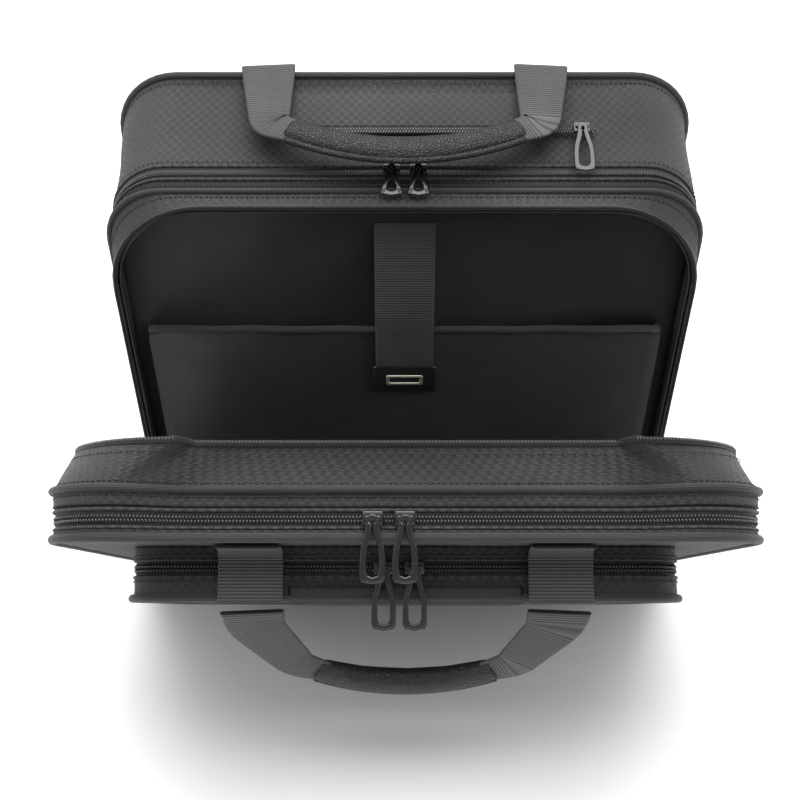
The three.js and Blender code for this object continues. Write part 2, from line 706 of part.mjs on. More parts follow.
// ---------------------------------------------------------------- assembly
const dividerY = buildRearShell();
const sleeveY = buildSleeve(dividerY);
buildRetention(dividerY, sleeveY);
buildFeet();
buildHatch();
buildRearZips();
buildRearAnchors();
const rearHandle = new THREE.Group();
rearHandle.position.set(0, rearPivotY, rearPivotZ);
rearHandle.rotation.x = (12 - 90) * degrees;
rear.add(rearHandle);
buildHandle(rearHandle, 'rear_handle', {
  strapX: rearStrapX, gripHalf: rearGripHalf, drop: 66, sag: 20, reach: 34,
});

buildFrontShell();
buildPocket();
buildFrontZips();
buildFrontAnchors();
const frontHandle = new THREE.Group();
frontHandle.position.set(0, frontPivotY, frontPivotZ);
frontHandle.rotation.x = -openAngle * degrees;
frontParts.add(frontHandle);
buildHandle(frontHandle, 'front_handle', {
  strapX: frontStrapX, gripHalf: frontGripHalf, drop: 60, sag: 14, reach: 34,
});

bag.updateMatrixWorld(true);
const whole = new THREE.Box3().setFromObject(bag, true);
bag.position.set(0, -(whole.min.y + whole.max.y) / 2, -whole.min.z);
bag.updateMatrixWorld(true);

export default bag;
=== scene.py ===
"""Soft-sided flight bag standing open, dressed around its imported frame.

Each sub-assembly is a class whose fields are its sizes in metres. Outlines lie in the closed bag's
own plane and a Placement puts them where the rear or the tipped front section stands.
"""

from __future__ import annotations

import json
import logging
import math
from dataclasses import dataclass
from enum import Enum
from typing import Callable, Sequence

import bmesh
import bpy
from mathutils import Matrix, Vector, noise


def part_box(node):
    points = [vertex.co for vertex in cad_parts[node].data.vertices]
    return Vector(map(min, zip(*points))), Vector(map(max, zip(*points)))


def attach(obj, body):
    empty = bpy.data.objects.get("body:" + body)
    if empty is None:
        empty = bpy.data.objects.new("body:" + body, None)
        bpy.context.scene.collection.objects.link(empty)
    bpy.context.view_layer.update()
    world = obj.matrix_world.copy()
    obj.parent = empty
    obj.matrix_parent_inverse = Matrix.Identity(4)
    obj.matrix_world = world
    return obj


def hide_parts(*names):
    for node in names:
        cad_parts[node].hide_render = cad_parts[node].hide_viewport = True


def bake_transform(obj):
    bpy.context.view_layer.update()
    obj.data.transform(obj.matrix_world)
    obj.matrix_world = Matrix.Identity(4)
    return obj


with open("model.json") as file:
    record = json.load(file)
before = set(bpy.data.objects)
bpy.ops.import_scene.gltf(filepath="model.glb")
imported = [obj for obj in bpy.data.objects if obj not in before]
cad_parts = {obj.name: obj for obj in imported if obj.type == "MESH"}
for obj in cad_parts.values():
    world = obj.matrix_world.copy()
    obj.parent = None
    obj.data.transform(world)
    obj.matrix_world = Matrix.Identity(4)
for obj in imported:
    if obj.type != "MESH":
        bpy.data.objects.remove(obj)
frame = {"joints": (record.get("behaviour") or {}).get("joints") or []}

log = logging.getLogger("flight_bag")
Point2 = tuple[float, float]
Ring = list[Vector]

SIDE_STEPS = 22
CORNER_STEPS = 10
TOP_STEPS = 64
BOTTOM_STEPS = 28
LOOP = 2 * SIDE_STEPS + 4 * CORNER_STEPS + TOP_STEPS + BOTTOM_STEPS
OVER_TOP = 2 * SIDE_STEPS + 2 * CORNER_STEPS + TOP_STEPS


# ---------------------------------------------------------------- outlines and places
@dataclass(frozen=True)
class Outline:
    """Rounded outline of a gusset in x and z, with lifted upper corners where ear is set."""

    half: float
    bottom: float
    top: float
    corner: float
    foot: float = 0.030
    ear: float = 0.0

    def crown(self, x: float) -> float:
        """Height of the top edge at x."""
        flat = self.half * 0.6
        t = min(max((abs(x) - flat) / max(self.half - self.corner - flat, 1e-6), 0.0), 1.0)
        return self.top - self.ear + self.ear * t * t * (3 - 2 * t)

    def points(self) -> list[Point2]:
        """The outline's points, from the left side's foot over the top and back underneath.

        Returns:
            LOOP points, the same number for every outline, so that outlines can be joined.
        """
        made: list[Point2] = []
        shoulder = self.top - self.corner
        knee = self.bottom + self.foot

        def arc(cx: float, cz: float, radius: float, start: float) -> None:
            """Adds a quarter turn, clockwise from an angle."""
            for i in range(CORNER_STEPS):
                angle = start - math.pi / 2 * i / CORNER_STEPS
                made.append((cx + radius * math.cos(angle), cz + radius * math.sin(angle)))

        for i in range(SIDE_STEPS):
            made.append((-self.half, knee + (shoulder - knee) * i / SIDE_STEPS))
        arc(-self.half + self.corner, shoulder, self.corner, math.pi)
        for i in range(TOP_STEPS):
            x = (self.half - self.corner) * (2 * i / TOP_STEPS - 1)
            made.append((x, self.crown(x)))
        arc(self.half - self.corner, shoulder, self.corner, math.pi / 2)
        for i in range(SIDE_STEPS):
            made.append((self.half, shoulder + (knee - shoulder) * i / SIDE_STEPS))
        arc(self.half - self.foot, knee, self.foot, 0.0)
        for i in range(BOTTOM_STEPS):
            made.append(((self.half - self.foot) * (1 - 2 * i / BOTTOM_STEPS), self.bottom))
        arc(-self.half + self.foot, knee, self.foot, -math.pi / 2)
        return made


def mix(a: Sequence[Point2], b: Sequence[Point2], t: float) -> list[Point2]:
    """The outline part way between two others."""
    return [(p[0] + (q[0] - p[0]) * t, p[1] + (q[1] - p[1]) * t) for p, q in zip(a, b)]


def outward(points: Sequence[Point2]) -> list[Point2]:
    """Unit normals of a closed outline, pointing away from its middle."""
    count = len(points)
    normals = []
    for i in range(count):
        ax, az = points[i - 1]
        bx, bz = points[(i + 1) % count]
        length = math.hypot(bx - ax, bz - az) or 1.0
        normals.append((-(bz - az) / length, (bx - ax) / length))
    return normals


def grow(points: Sequence[Point2], distance: float | Sequence[float]) -> list[Point2]:
    """The outline moved outwards by one distance, or by one for each point."""
    steps = [distance] * len(points) if isinstance(distance, (int, float)) else distance
    return [(p[0] + n[0] * d, p[1] + n[1] * d) for p, n, d in zip(points, outward(points), steps)]


@dataclass(frozen=True)
class Placement:
    """Where a section stands: closed-bag coordinates to the row frame."""

    body: str
    matrix: Matrix

    def at(self, x: float, y: float, z: float) -> Vector:
        """One point of the closed bag, placed."""
        return self.matrix @ Vector((x, y, z))

    def ring(self, points: Sequence[Point2], y: float) -> Ring:
        """An outline at a depth, placed."""
        return [self.at(x, y, z) for x, z in points]

    def turn(self, x: float, y: float, z: float) -> Vector:
        """One direction of the closed bag, turned."""
        return self.matrix.to_3x3() @ Vector((x, y, z))


def joint(name: str) -> dict:
    """The frame's record of a joint."""
    return next(j for j in frame["joints"] if j["name"] == name)


# ---------------------------------------------------------------- mesh building
def new_object(name: str, bm: bmesh.types.BMesh) -> bpy.types.Object:
    """Turns a finished bmesh into a smooth-shaded object at the origin.

    Args:
        name: name of the object and its mesh.
        bm: the bmesh, which is freed.

    Returns:
        The object, linked to the scene.
    """
    label = "bag_" + name.replace(" ", "_")
    mesh = bpy.data.meshes.new(label)
    bm.to_mesh(mesh)
    bm.free()
    made = bpy.data.objects.new(label, mesh)
    bpy.context.collection.objects.link(made)
    for polygon in mesh.polygons:
        polygon.use_smooth = True
    return made


def loft(name: str, rings: Sequence[Ring], closed: bool = True, wrap: bool = False) -> bpy.types.Object:
    """Sheet through rings of points, drawn out ring by ring, with a cloth UV map in metres.

    Args:
        name: name of the piece.
        rings: rings of the same number of points.
        closed: each ring meets its own start.
        wrap: the last ring meets the first.

    Returns:
        The sheet as an object.
    """
    bm = bmesh.new()
    count = len(rings[0])
    row = [bm.verts.new(p) for p in rings[0]]
    spans = count if closed else count - 1
    edges = [bm.edges.new((row[i], row[(i + 1) % count])) for i in range(spans)]
    rows = [row]
    for ring in list(rings[1:]):
        drawn = bmesh.ops.extrude_edge_only(bm, edges=edges)["geom"]
        fresh = {v.co.to_tuple(7): v for v in drawn if isinstance(v, bmesh.types.BMVert)}
        row = [fresh[v.co.to_tuple(7)] for v in rows[-1]]
        edges = [e for e in drawn if isinstance(e, bmesh.types.BMEdge)]
        for vert, point in zip(row, ring):
            vert.co = point
        rows.append(row)
    if wrap:
        first = [bm.edges.get((rows[0][i], rows[0][(i + 1) % count])) for i in range(spans)]
        last = [bm.edges.get((rows[-1][i], rows[-1][(i + 1) % count])) for i in range(spans)]
        bmesh.ops.bridge_loops(bm, edges=first + last)
    place = {v: (k, i) for k, r in enumerate(rows) for i, v in enumerate(r)}
    middle = rings[len(rings) // 2]
    along = [0.0]
    for i in range(count):
        along.append(along[-1] + (middle[(i + 1) % count] - middle[i]).length)
    across = [0.0]
    for k in range(len(rings)):
        across.append(across[-1] + (rings[(k + 1) % len(rings)][0] - rings[k][0]).length)
    uv = bm.loops.layers.uv.new("Cloth")
    for face in bm.faces:
        ks = [place[v][0] for v in face.verts]
        js = [place[v][1] for v in face.verts]
        for corner in face.loops:
            k, i = place[corner.vert]
            if closed and i == 0 and count - 1 in js:
                i = count
            if wrap and k == 0 and len(rings) - 1 in ks:
                k = len(rings)
            corner[uv].uv = (along[i], across[k])
    bmesh.ops.recalc_face_normals(bm, faces=bm.faces)
    return new_object(name, bm)


def thicken(piece: bpy.types.Object, thickness: float, offset: float = -1.0) -> bpy.types.Object:
    """Gives a sheet its thickness and applies it, so that the edges are closed."""
    solid = piece.modifiers.new("Thickness", "SOLIDIFY")
    solid.thickness = thickness
    solid.offset = offset
    solid.use_even_offset = False
    return settle(piece)


def settle(piece: bpy.types.Object) -> bpy.types.Object:
    """Applies a piece's modifiers to its mesh."""
    depsgraph = bpy.context.evaluated_depsgraph_get()
    settled = bpy.data.meshes.new_from_object(piece.evaluated_get(depsgraph))
    piece.modifiers.clear()
    piece.data = settled
    return piece


def close_ends(piece: bpy.types.Object) -> bpy.types.Object:
    """Fills a piece's open ends and turns its faces outwards."""
    bm = bmesh.new()
    bm.from_mesh(piece.data)
    bmesh.ops.holes_fill(bm, edges=[e for e in bm.edges if e.is_boundary], sides=0)
    bmesh.ops.recalc_face_normals(bm, faces=bm.faces)
    bm.to_mesh(piece.data)
    bm.free()
    return piece


def outside_first(piece: bpy.types.Object, centre: Vector) -> bpy.types.Object:
    """Turns an open sheet's faces so that they look away from a centre."""
    mesh = piece.data
    facing = sum((p.center - centre).dot(p.normal) * p.area for p in mesh.polygons)
    if facing < 0:
        mesh.flip_normals()
    return piece


def tube(name: str, path: Ring, radius: float, sides: int = 8, closed: bool = True,
         side_of: Callable[[int], Vector] | None = None) -> bpy.types.Object:
    """Round cord along a path.

    Args:
        name: name of the piece.
        path: points along its middle.
        radius: half its diameter.
        sides: number of sides.
        closed: the cord meets its own start.
        side_of: direction across the cord at a point, or None to work it out from +y.

    Returns:
        The cord as an object.
    """
    count = len(path)
    rings: list[Ring] = []
    for k in range(sides):
        angle = 2 * math.pi * k / sides
        ring = []
        for i, point in enumerate(path):
            before = path[i - 1] if closed or i else path[0]
            after = path[(i + 1) % count] if closed or i < count - 1 else path[-1]
            forward = (after - before).normalized()
            side = side_of(i) if side_of else Vector((0, 1, 0))
            side = (side - forward * side.dot(forward)).normalized()
            up = forward.cross(side)
            ring.append(point + side * radius * math.cos(angle) + up * radius * math.sin(angle))
        rings.append(ring)
    made = loft(name, rings, closed=closed, wrap=True)
    if not closed:
        close_ends(made)
    return made


def join(name: str, pieces: Sequence[bpy.types.Object]) -> bpy.types.Object:
    """Joins several meshes into one object."""
    bm = bmesh.new()
    for piece in pieces:
        bm.from_mesh(piece.data)
        bpy.data.objects.remove(piece)
    return new_object(name, bm)


def stand_for(piece: bpy.types.Object, material: bpy.types.Material, body: str, slot: str,
              *nodes: str) -> bpy.types.Object:
    """Dresses a piece, ties it to its body and hides the nodes that it replaces."""
    piece.data.materials.clear()
    piece.data.materials.append(material)
    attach(piece, body)
    if nodes:
        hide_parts(*nodes)
    log.info("%s: %d faces on %s", piece.name, len(piece.data.polygons), body)
    return piece


# ---------------------------------------------------------------- finishes
class Pattern(Enum):
    """The surface pattern of a finish."""

    WEAVE = "basket weave"
    RIB = "ribbed webbing"
    SATIN = "fine satin"
    GRAIN = "pebbled leather"
    MOULDED = "fine moulded or plated surface"


class Nodes:
    """Short-hand for building a shader or group node tree."""

    def __init__(self, tree: bpy.types.NodeTree) -> None:
        """Keeps the tree."""
        self.tree = tree

    def add(self, kind: str, inputs: dict | None = None, **settings) -> bpy.types.Node:
        """Adds a node, sets its attributes, and fills or links its inputs."""
        node = self.tree.nodes.new(kind)
        for key, value in settings.items():
            setattr(node, key, value)
        for key, value in (inputs or {}).items():
            if isinstance(value, bpy.types.NodeSocket):
                self.tree.links.new(value, node.inputs[key])
            else:
                node.inputs[key].default_value = value
        return node

    def math(self, operation: str, a, b=0.0) -> bpy.types.NodeSocket:
        """One math node's result."""
        return self.add("ShaderNodeMath", {0: a, 1: b}, operation=operation).outputs[0]


def new_group(name: str, inputs: Sequence[tuple[str, str, float]]) -> tuple[bpy.types.NodeTree, Nodes]:
    """A shader node group with the given inputs and the outputs Height and Mask.

    Args:
        name: name of the group.
        inputs: socket name, socket type and default of each input.

    Returns:
        The group and a builder for its nodes.
    """
    group = bpy.data.node_groups.new(name, "ShaderNodeTree")
    for label, kind, default in inputs:
        socket = group.interface.new_socket(name=label, in_out="INPUT", socket_type=kind)
        if kind == "NodeSocketFloat":
            socket.default_value = default
    for label in ("Height", "Mask"):
        group.interface.new_socket(name=label, in_out="OUTPUT", socket_type="NodeSocketFloat")
    return group, Nodes(group)


PATTERN_INPUTS = (("Vector", "NodeSocketVector", 0.0), ("Pitch", "NodeSocketFloat", 0.001))


def threads(nodes: Nodes, value, pitch, power: float = 1.0) -> bpy.types.NodeSocket:
    """Rounded ridges a pitch apart along one coordinate, from 0 to 1."""
    turns = nodes.math("MULTIPLY", nodes.math("DIVIDE", value, pitch), math.pi)
    ridge = nodes.math("ABSOLUTE", nodes.math("SINE", turns))
    return nodes.math("POWER", ridge, power)


def weave_group() -> bpy.types.NodeTree:
    """Two-over-two basket weave: crossing threads that take turns on top."""
    group, nodes = new_group("BasketWeave", PATTERN_INPUTS)
    source = nodes.add("NodeGroupInput").outputs
    split = nodes.add("ShaderNodeSeparateXYZ", {0: source["Vector"]}).outputs
    wobble = nodes.add("ShaderNodeTexNoise", {"Vector": source["Vector"], "Scale": 90.0, "Detail": 1.0})
    drift = nodes.math("MULTIPLY", nodes.math("SUBTRACT", wobble.outputs["Fac"], 0.5), 0.0012)
    u = nodes.math("ADD", split[0], drift)
    v = nodes.math("ADD", split[1], drift)
    double = nodes.math("MULTIPLY", source["Pitch"], 2.0)
    over = nodes.math("MULTIPLY",
                      nodes.math("SINE", nodes.math("MULTIPLY", nodes.math("DIVIDE", u, double), math.pi)),
                      nodes.math("SINE", nodes.math("MULTIPLY", nodes.math("DIVIDE", v, double), math.pi)))
    chosen = nodes.math("GREATER_THAN", over, 0.0)
    warp = threads(nodes, u, nodes.math("MULTIPLY", source["Pitch"], 0.5), 0.7)
    weft = threads(nodes, v, nodes.math("MULTIPLY", source["Pitch"], 0.5), 0.7)
    height = nodes.add("ShaderNodeMix", {0: chosen, 2: warp, 3: weft}).outputs[0]
    # The tone follows the threads' height: painted shade in the gaps between threads, painted highlight on
    # their tops, and the squares with the warp on top painted dimmer.
    relief_shade_mask = nodes.math("MULTIPLY", height, nodes.add("ShaderNodeMix", {0: chosen, 2: 0.62, 3: 1.0}).outputs[0])
    nodes.add("NodeGroupOutput", {"Height": height, "Mask": relief_shade_mask})
    return group


def rib_group() -> bpy.types.NodeTree:
    """Webbing: close ribs across the strap, broken by the warp's fine threads."""
    group, nodes = new_group("WebbingRibs", PATTERN_INPUTS)
    source = nodes.add("NodeGroupInput").outputs
    split = nodes.add("ShaderNodeSeparateXYZ", {0: source["Vector"]}).outputs
    rib = threads(nodes, split[1], source["Pitch"], 0.8)
    warp = threads(nodes, split[0], nodes.math("MULTIPLY", source["Pitch"], 0.7), 0.5)
    height = nodes.math("MULTIPLY", rib, nodes.math("ADD", nodes.math("MULTIPLY", warp, 0.45), 0.55))
    # The ribs' height also sets the tone: painted shade between the ribs, painted highlight on their tops.
    nodes.add("NodeGroupOutput", {"Height": height, "Mask": height})
    return group


def satin_group() -> bpy.types.NodeTree:
    """Smooth lining: a very fine twill with soft creases."""
    group, nodes = new_group("SatinTwill", PATTERN_INPUTS)
    source = nodes.add("NodeGroupInput").outputs
    split = nodes.add("ShaderNodeSeparateXYZ", {0: source["Vector"]}).outputs
    twill = threads(nodes, nodes.math("ADD", split[0], split[1]), source["Pitch"], 1.0)
    crease = nodes.add("ShaderNodeTexNoise", {"Vector": source["Vector"], "Scale": 14.0, "Detail": 3.0})
    height = nodes.math("ADD", nodes.math("MULTIPLY", twill, 0.15), crease.outputs["Fac"])
    # The creases' height sets the tone: painted shade in the folds, painted highlight on their ridges.
    nodes.add("NodeGroupOutput", {"Height": height, "Mask": crease.outputs["Fac"]})
    return group


def grain_group() -> bpy.types.NodeTree:
    """Pebbled leather: rounded cells, with painted shade in the creases between them."""
    group, nodes = new_group("LeatherGrain", PATTERN_INPUTS)
    source = nodes.add("NodeGroupInput").outputs
    scale = nodes.math("DIVIDE", 1.0, source["Pitch"])
    bend = nodes.add("ShaderNodeTexNoise", {"Vector": source["Vector"], "Scale": scale, "Detail": 2.0})
    cells = nodes.add("ShaderNodeTexVoronoi", {"Vector": source["Vector"], "Scale": scale},
                      feature="DISTANCE_TO_EDGE")
    edge = nodes.add("ShaderNodeMapRange", {0: cells.outputs["Distance"], 1: 0.0, 2: 0.28}).outputs[0]
    height = nodes.math("ADD", edge, nodes.math("MULTIPLY", bend.outputs["Fac"], 0.4))
    # Distance from the creases sets the tone: painted shade in the creases, painted highlight on the cells'
    # tops.
    nodes.add("NodeGroupOutput", {"Height": height, "Mask": edge})
    return group


def moulded_group() -> bpy.types.NodeTree:
    """Moulded or plated surface: a faint orange peel."""
    group, nodes = new_group("MouldedSkin", PATTERN_INPUTS)
    source = nodes.add("NodeGroupInput").outputs
    scale = nodes.math("DIVIDE", 1.0, source["Pitch"])
    peel = nodes.add("ShaderNodeTexNoise", {"Vector": source["Vector"], "Scale": scale, "Detail": 2.0})
    # The peel's height also sets the tone: painted highlight on its bumps, painted shade between them.
    nodes.add("NodeGroupOutput", {"Height": peel.outputs["Fac"], "Mask": peel.outputs["Fac"]})
    return group


def wear_group() -> bpy.types.NodeTree:
    """Broad fading and lint, the same on every fabric of the bag."""
    group, nodes = new_group("HandlingWear", (("Vector", "NodeSocketVector", 0.0),))
    source = nodes.add("NodeGroupInput").outputs
    broad = nodes.add("ShaderNodeTexNoise", {"Vector": source["Vector"], "Scale": 9.0, "Detail": 4.0})
    specks = nodes.add("ShaderNodeTexNoise", {"Vector": source["Vector"], "Scale": 700.0, "Detail": 1.0})
    lint = nodes.add("ShaderNodeMapRange", {0: specks.outputs["Fac"], 1: 0.66, 2: 0.8}).outputs[0]
    nodes.add("NodeGroupOutput", {"Height": lint, "Mask": broad.outputs["Fac"]})
    return group


GROUPS: dict[Pattern, bpy.types.NodeTree] = {
    Pattern.WEAVE: weave_group(),
    Pattern.RIB: rib_group(),
    Pattern.SATIN: satin_group(),
    Pattern.GRAIN: grain_group(),
    Pattern.MOULDED: moulded_group(),
}
WEAR = wear_group()
Colour = tuple[float, float, float]


@dataclass(frozen=True)
class Finish:
    """One material: its pattern, its dye darkened into painted shade in the pattern's hollows and lightened
    into painted highlight on its tops, and how it takes the light.
    """

    slot: str
    pattern: Pattern
    # Dye with painted shade for the pattern's hollows, then dye with painted highlight for its tops.
    dye_and_painted_shade: Colour
    dye_and_painted_highlight: Colour
    roughness: float
    pitch: float = 0.001
    bump: float = 0.0003
    metallic: float = 0.0
    sheen: float = 0.0
    coat: float = 0.0
    specular: float = 0.5
    spread: float = 0.12
    fade: float = 0.35
    by_object: bool = False

    def build(self) -> bpy.types.Material:
        """Builds the node material.

        Returns:
            The material, named after its slot.
        """
        made = bpy.data.materials.new(self.slot)
        made.use_nodes = True
        nodes = Nodes(made.node_tree)
        made.node_tree.nodes.clear()
        coordinates = nodes.add("ShaderNodeTexCoord").outputs
        vector = coordinates["Object" if self.by_object else "UV"]
        pattern = nodes.add("ShaderNodeGroup", node_tree=GROUPS[self.pattern])
        made.node_tree.links.new(vector, pattern.inputs["Vector"])
        pattern.inputs["Pitch"].default_value = self.pitch
        wear = nodes.add("ShaderNodeGroup", node_tree=WEAR)
        made.node_tree.links.new(coordinates["Object"], wear.inputs["Vector"])
        # The pattern's relief lays painted shade in its hollows and painted highlight on its tops.
        dye_and_relief_shade = nodes.add("ShaderNodeMix", {0: pattern.outputs["Mask"], 6: (*self.dye_and_painted_shade, 1.0),
                                             7: (*self.dye_and_painted_highlight, 1.0)}, data_type="RGBA").outputs[2]
        fading = nodes.add("ShaderNodeMapRange", {0: wear.outputs["Mask"], 1: 0.3, 2: 0.7,
                                                  3: 1.0 - self.fade, 4: 1.0 + self.fade}).outputs[0]
        tone = nodes.add("ShaderNodeVectorMath", {0: dye_and_relief_shade, "Scale": fading}, operation="SCALE").outputs[0]
        rough = nodes.add("ShaderNodeMapRange", {0: pattern.outputs["Mask"], 3: self.roughness + self.spread,
                                                 4: self.roughness - self.spread}).outputs[0]
        relief = nodes.add("ShaderNodeBump", {"Height": pattern.outputs["Height"], "Distance": self.bump,
                                              "Strength": 1.0}).outputs[0]
        shader = nodes.add("ShaderNodeBsdfPrincipled", {
            "Base Color": tone, "Roughness": rough, "Normal": relief, "Metallic": self.metallic,
            "Sheen Weight": self.sheen, "Sheen Roughness": 0.5, "Coat Weight": self.coat,
            "Coat Roughness": 0.15, "Specular IOR Level": self.specular})
        nodes.add("ShaderNodeOutputMaterial", {"Surface": shader.outputs[0]})
        return made


def grey(value: float, warm: float = 0.0) -> Colour:
    """A near-black charcoal, slightly cool, or warmer."""
    return (value * (1.0 + warm), value * 0.97, value * (1.04 - 1.5 * warm))


# Each finish's darker and lighter greys are its dye with painted shade in the pattern's hollows and with
# painted highlight on its tops.
FINISHES = {
    finish.slot: finish
    for finish in (
        Finish("ballistic_nylon", Pattern.WEAVE, grey(0.005), grey(0.048), 0.62, pitch=0.0017,
               bump=0.0005, sheen=0.12, specular=0.3),
        Finish("binding", Pattern.RIB, grey(0.005), grey(0.030), 0.6, pitch=0.0011, bump=0.0003, sheen=0.1,
               specular=0.35),
        Finish("satin_lining", Pattern.SATIN, grey(0.005), grey(0.013), 0.42, pitch=0.0007, bump=0.0020,
               sheen=0.05, specular=0.5),
        Finish("webbing", Pattern.RIB, grey(0.007), grey(0.070), 0.55, pitch=0.0021, bump=0.0006, sheen=0.12,
               specular=0.35),
        Finish("zip_tape", Pattern.RIB, grey(0.006), grey(0.026), 0.6, pitch=0.0009, bump=0.0002, sheen=0.08,
               specular=0.3),
        Finish("zip_coil", Pattern.MOULDED, grey(0.020), grey(0.055), 0.32, pitch=0.002, bump=0.0001,
               by_object=True, coat=0.3),
        Finish("black_nickel", Pattern.MOULDED, grey(0.010, 0.1), grey(0.018, 0.1), 0.2, pitch=0.002,
               bump=0.00003, metallic=0.5, coat=0.5, spread=0.04, by_object=True, specular=0.6),
        Finish("grip_leather", Pattern.GRAIN, grey(0.003), grey(0.008), 0.52, pitch=0.0022, bump=0.0004,
               by_object=True, specular=0.45),
        Finish("smooth_trim", Pattern.GRAIN, grey(0.010, 0.15), grey(0.017, 0.15), 0.5, pitch=0.0011,
               bump=0.00015, by_object=True, specular=0.3),
        Finish("buckle_plastic", Pattern.MOULDED, grey(0.012), grey(0.02), 0.38, by_object=True,
               bump=0.00005),
        Finish("buckle_metal", Pattern.MOULDED, (0.62, 0.58, 0.44), (0.80, 0.77, 0.66), 0.3, metallic=0.8,
               by_object=True, bump=0.00005, spread=0.06, fade=0.1),
        Finish("rubber_feet", Pattern.MOULDED, grey(0.012), grey(0.02), 0.75, by_object=True, bump=0.0001),
        Finish("stiffener_board", Pattern.MOULDED, grey(0.03), grey(0.05), 0.7, by_object=True, bump=0.0001),
    )
}


MATERIALS = {slot: finish.build() for slot, finish in FINISHES.items()}

# ---------------------------------------------------------------- shared outlines
BACK = Outline(0.215, 0.003, 0.366, 0.046)
REAR_SEAM = Outline(0.215, 0.003, 0.326, 0.042)
REAR_RIM = Outline(0.215, 0.003, 0.322, 0.076)
FRONT_RIM = Outline(0.209, 0.0, 0.337, 0.076, ear=0.015)
FRONT_SEAM = Outline(0.215, 0.0, 0.337, 0.042, ear=0.015)
POCKET = Outline(0.1725, 0.058, 0.284, 0.026, foot=0.026)
REAR_PIPING_Y = 0.016
REAR_DEPTH = 0.110
ORGANISER_PIPING_Y = -0.030
FRONT_DEPTH = 0.060
TIP_RADIUS = 0.010
TILT = math.radians(36.5)
REAR_SLOPE = math.radians(23.05)
TOOTH_PITCH = 0.00205

HINGE = Vector(joint("front_section_opening")["pos_m"])
SHIFT = HINGE.y + FRONT_DEPTH - TIP_RADIUS
REAR = Placement("root", Matrix.Translation((0, SHIFT, 0)))
FRONT = Placement("front_section", Matrix.Translation(HINGE) @ Matrix.Rotation(TILT, 4, "X")
                  @ Matrix.Translation((0, FRONT_DEPTH - TIP_RADIUS, -TIP_RADIUS)))


def rear_points(y: float) -> list[Point2]:
    """The rear gusset's outline at a depth."""
    if y < REAR_PIPING_Y:
        return mix(REAR_RIM.points(), REAR_SEAM.points(), y / REAR_PIPING_Y)
    return mix(REAR_SEAM.points(), BACK.points(), (y - REAR_PIPING_Y) / (REAR_DEPTH - REAR_PIPING_Y))


def front_points(y: float) -> list[Point2]:
    """The front gusset's outline at a depth, rounded under at the lower front edge."""
    if y > ORGANISER_PIPING_Y:
        return mix(FRONT_SEAM.points(), FRONT_RIM.points(), 1 - y / ORGANISER_PIPING_Y)
    t = (y - ORGANISER_PIPING_Y) / (-FRONT_DEPTH - ORGANISER_PIPING_Y)
    under = min(max(TIP_RADIUS - FRONT_DEPTH - y, 0.0), TIP_RADIUS)
    lift = TIP_RADIUS - math.sqrt(TIP_RADIUS**2 - under**2)
    ear = 0.015 * (1 - 0.4 * t)
    return Outline(0.215, lift, 0.322 + ear, 0.042, ear=ear).points()


def front_edge_points(_: float) -> list[Point2]:
    """The front piping's outline, drawn in along the bottom so that it clears the ground."""
    points = front_points(-0.0585)
    return grow(points, [-0.0036 if z < 0.020 else 0.0004 for _, z in points])


def pocket_points(_: float) -> list[Point2]:
    """The pocket gusset's outline, the same at every depth."""
    return POCKET.points()


def creased(points: list[Point2], y: float, size: float, scale: float = 16.0) -> list[Point2]:
    """An outline with soft creases pressed into it."""
    steps = [size * (noise.noise(Vector((x * scale, y * scale * 1.6, z * scale))) - 0.35) for x, z in points]
    return grow(points, steps)


def lay_uv(piece: bpy.types.Object, place: Placement) -> bpy.types.Object:
    """Lays the cloth's UV map flat on a panel's x and z."""
    back = place.matrix.inverted()
    mesh = piece.data
    layer = mesh.uv_layers.get("Cloth") or mesh.uv_layers.new(name="Cloth")
    for corner in mesh.loops:
        local = back @ mesh.vertices[corner.vertex_index].co
        layer.data[corner.index].uv = (local.x, local.z)
    return piece


# ---------------------------------------------------------------- parts of every section
@dataclass
class Band:
    """A strip of fabric round a section, between two depths."""

    name: str
    place: Placement
    outline: Callable[[float], list[Point2]]
    start: float
    end: float
    slot: str = "ballistic_nylon"
    inset: float = 0.0
    thickness: float = 0.0024
    steps: int = 6
    crease: float = 0.0
    sag: float = 0.0

    def section(self, y: float) -> Ring:
        """The strip's outside at one depth."""
        points = self.outline(y)
        t = (y - self.start) / (self.end - self.start)
        fade = math.sin(math.pi * min(max(t, 0.0), 1.0)) ** 0.6
        points = creased(points, y, self.crease * fade, 14.0) if self.crease else points
        if self.sag:
            crown = max(z for _, z in points)
            points = [(x, z - self.sag * fade * max(0.0, math.cos(x / 0.215 * math.pi / 2)) ** 0.8
                       if z > crown - 0.02 else z) for x, z in points]
        return self.place.ring(grow(points, -self.inset), y)

    def build(self, *nodes: str) -> bpy.types.Object:
        """Builds the strip in place of CAD nodes."""
        depths = [self.start + (self.end - self.start) * k / self.steps for k in range(self.steps + 1)]
        piece = loft(self.name, [self.section(y) for y in depths])
        middle = self.place.at(0, (self.start + self.end) / 2, 0.17)
        thicken(outside_first(piece, middle), self.thickness)
        return stand_for(piece, MATERIALS[self.slot], self.place.body, self.slot, *nodes)


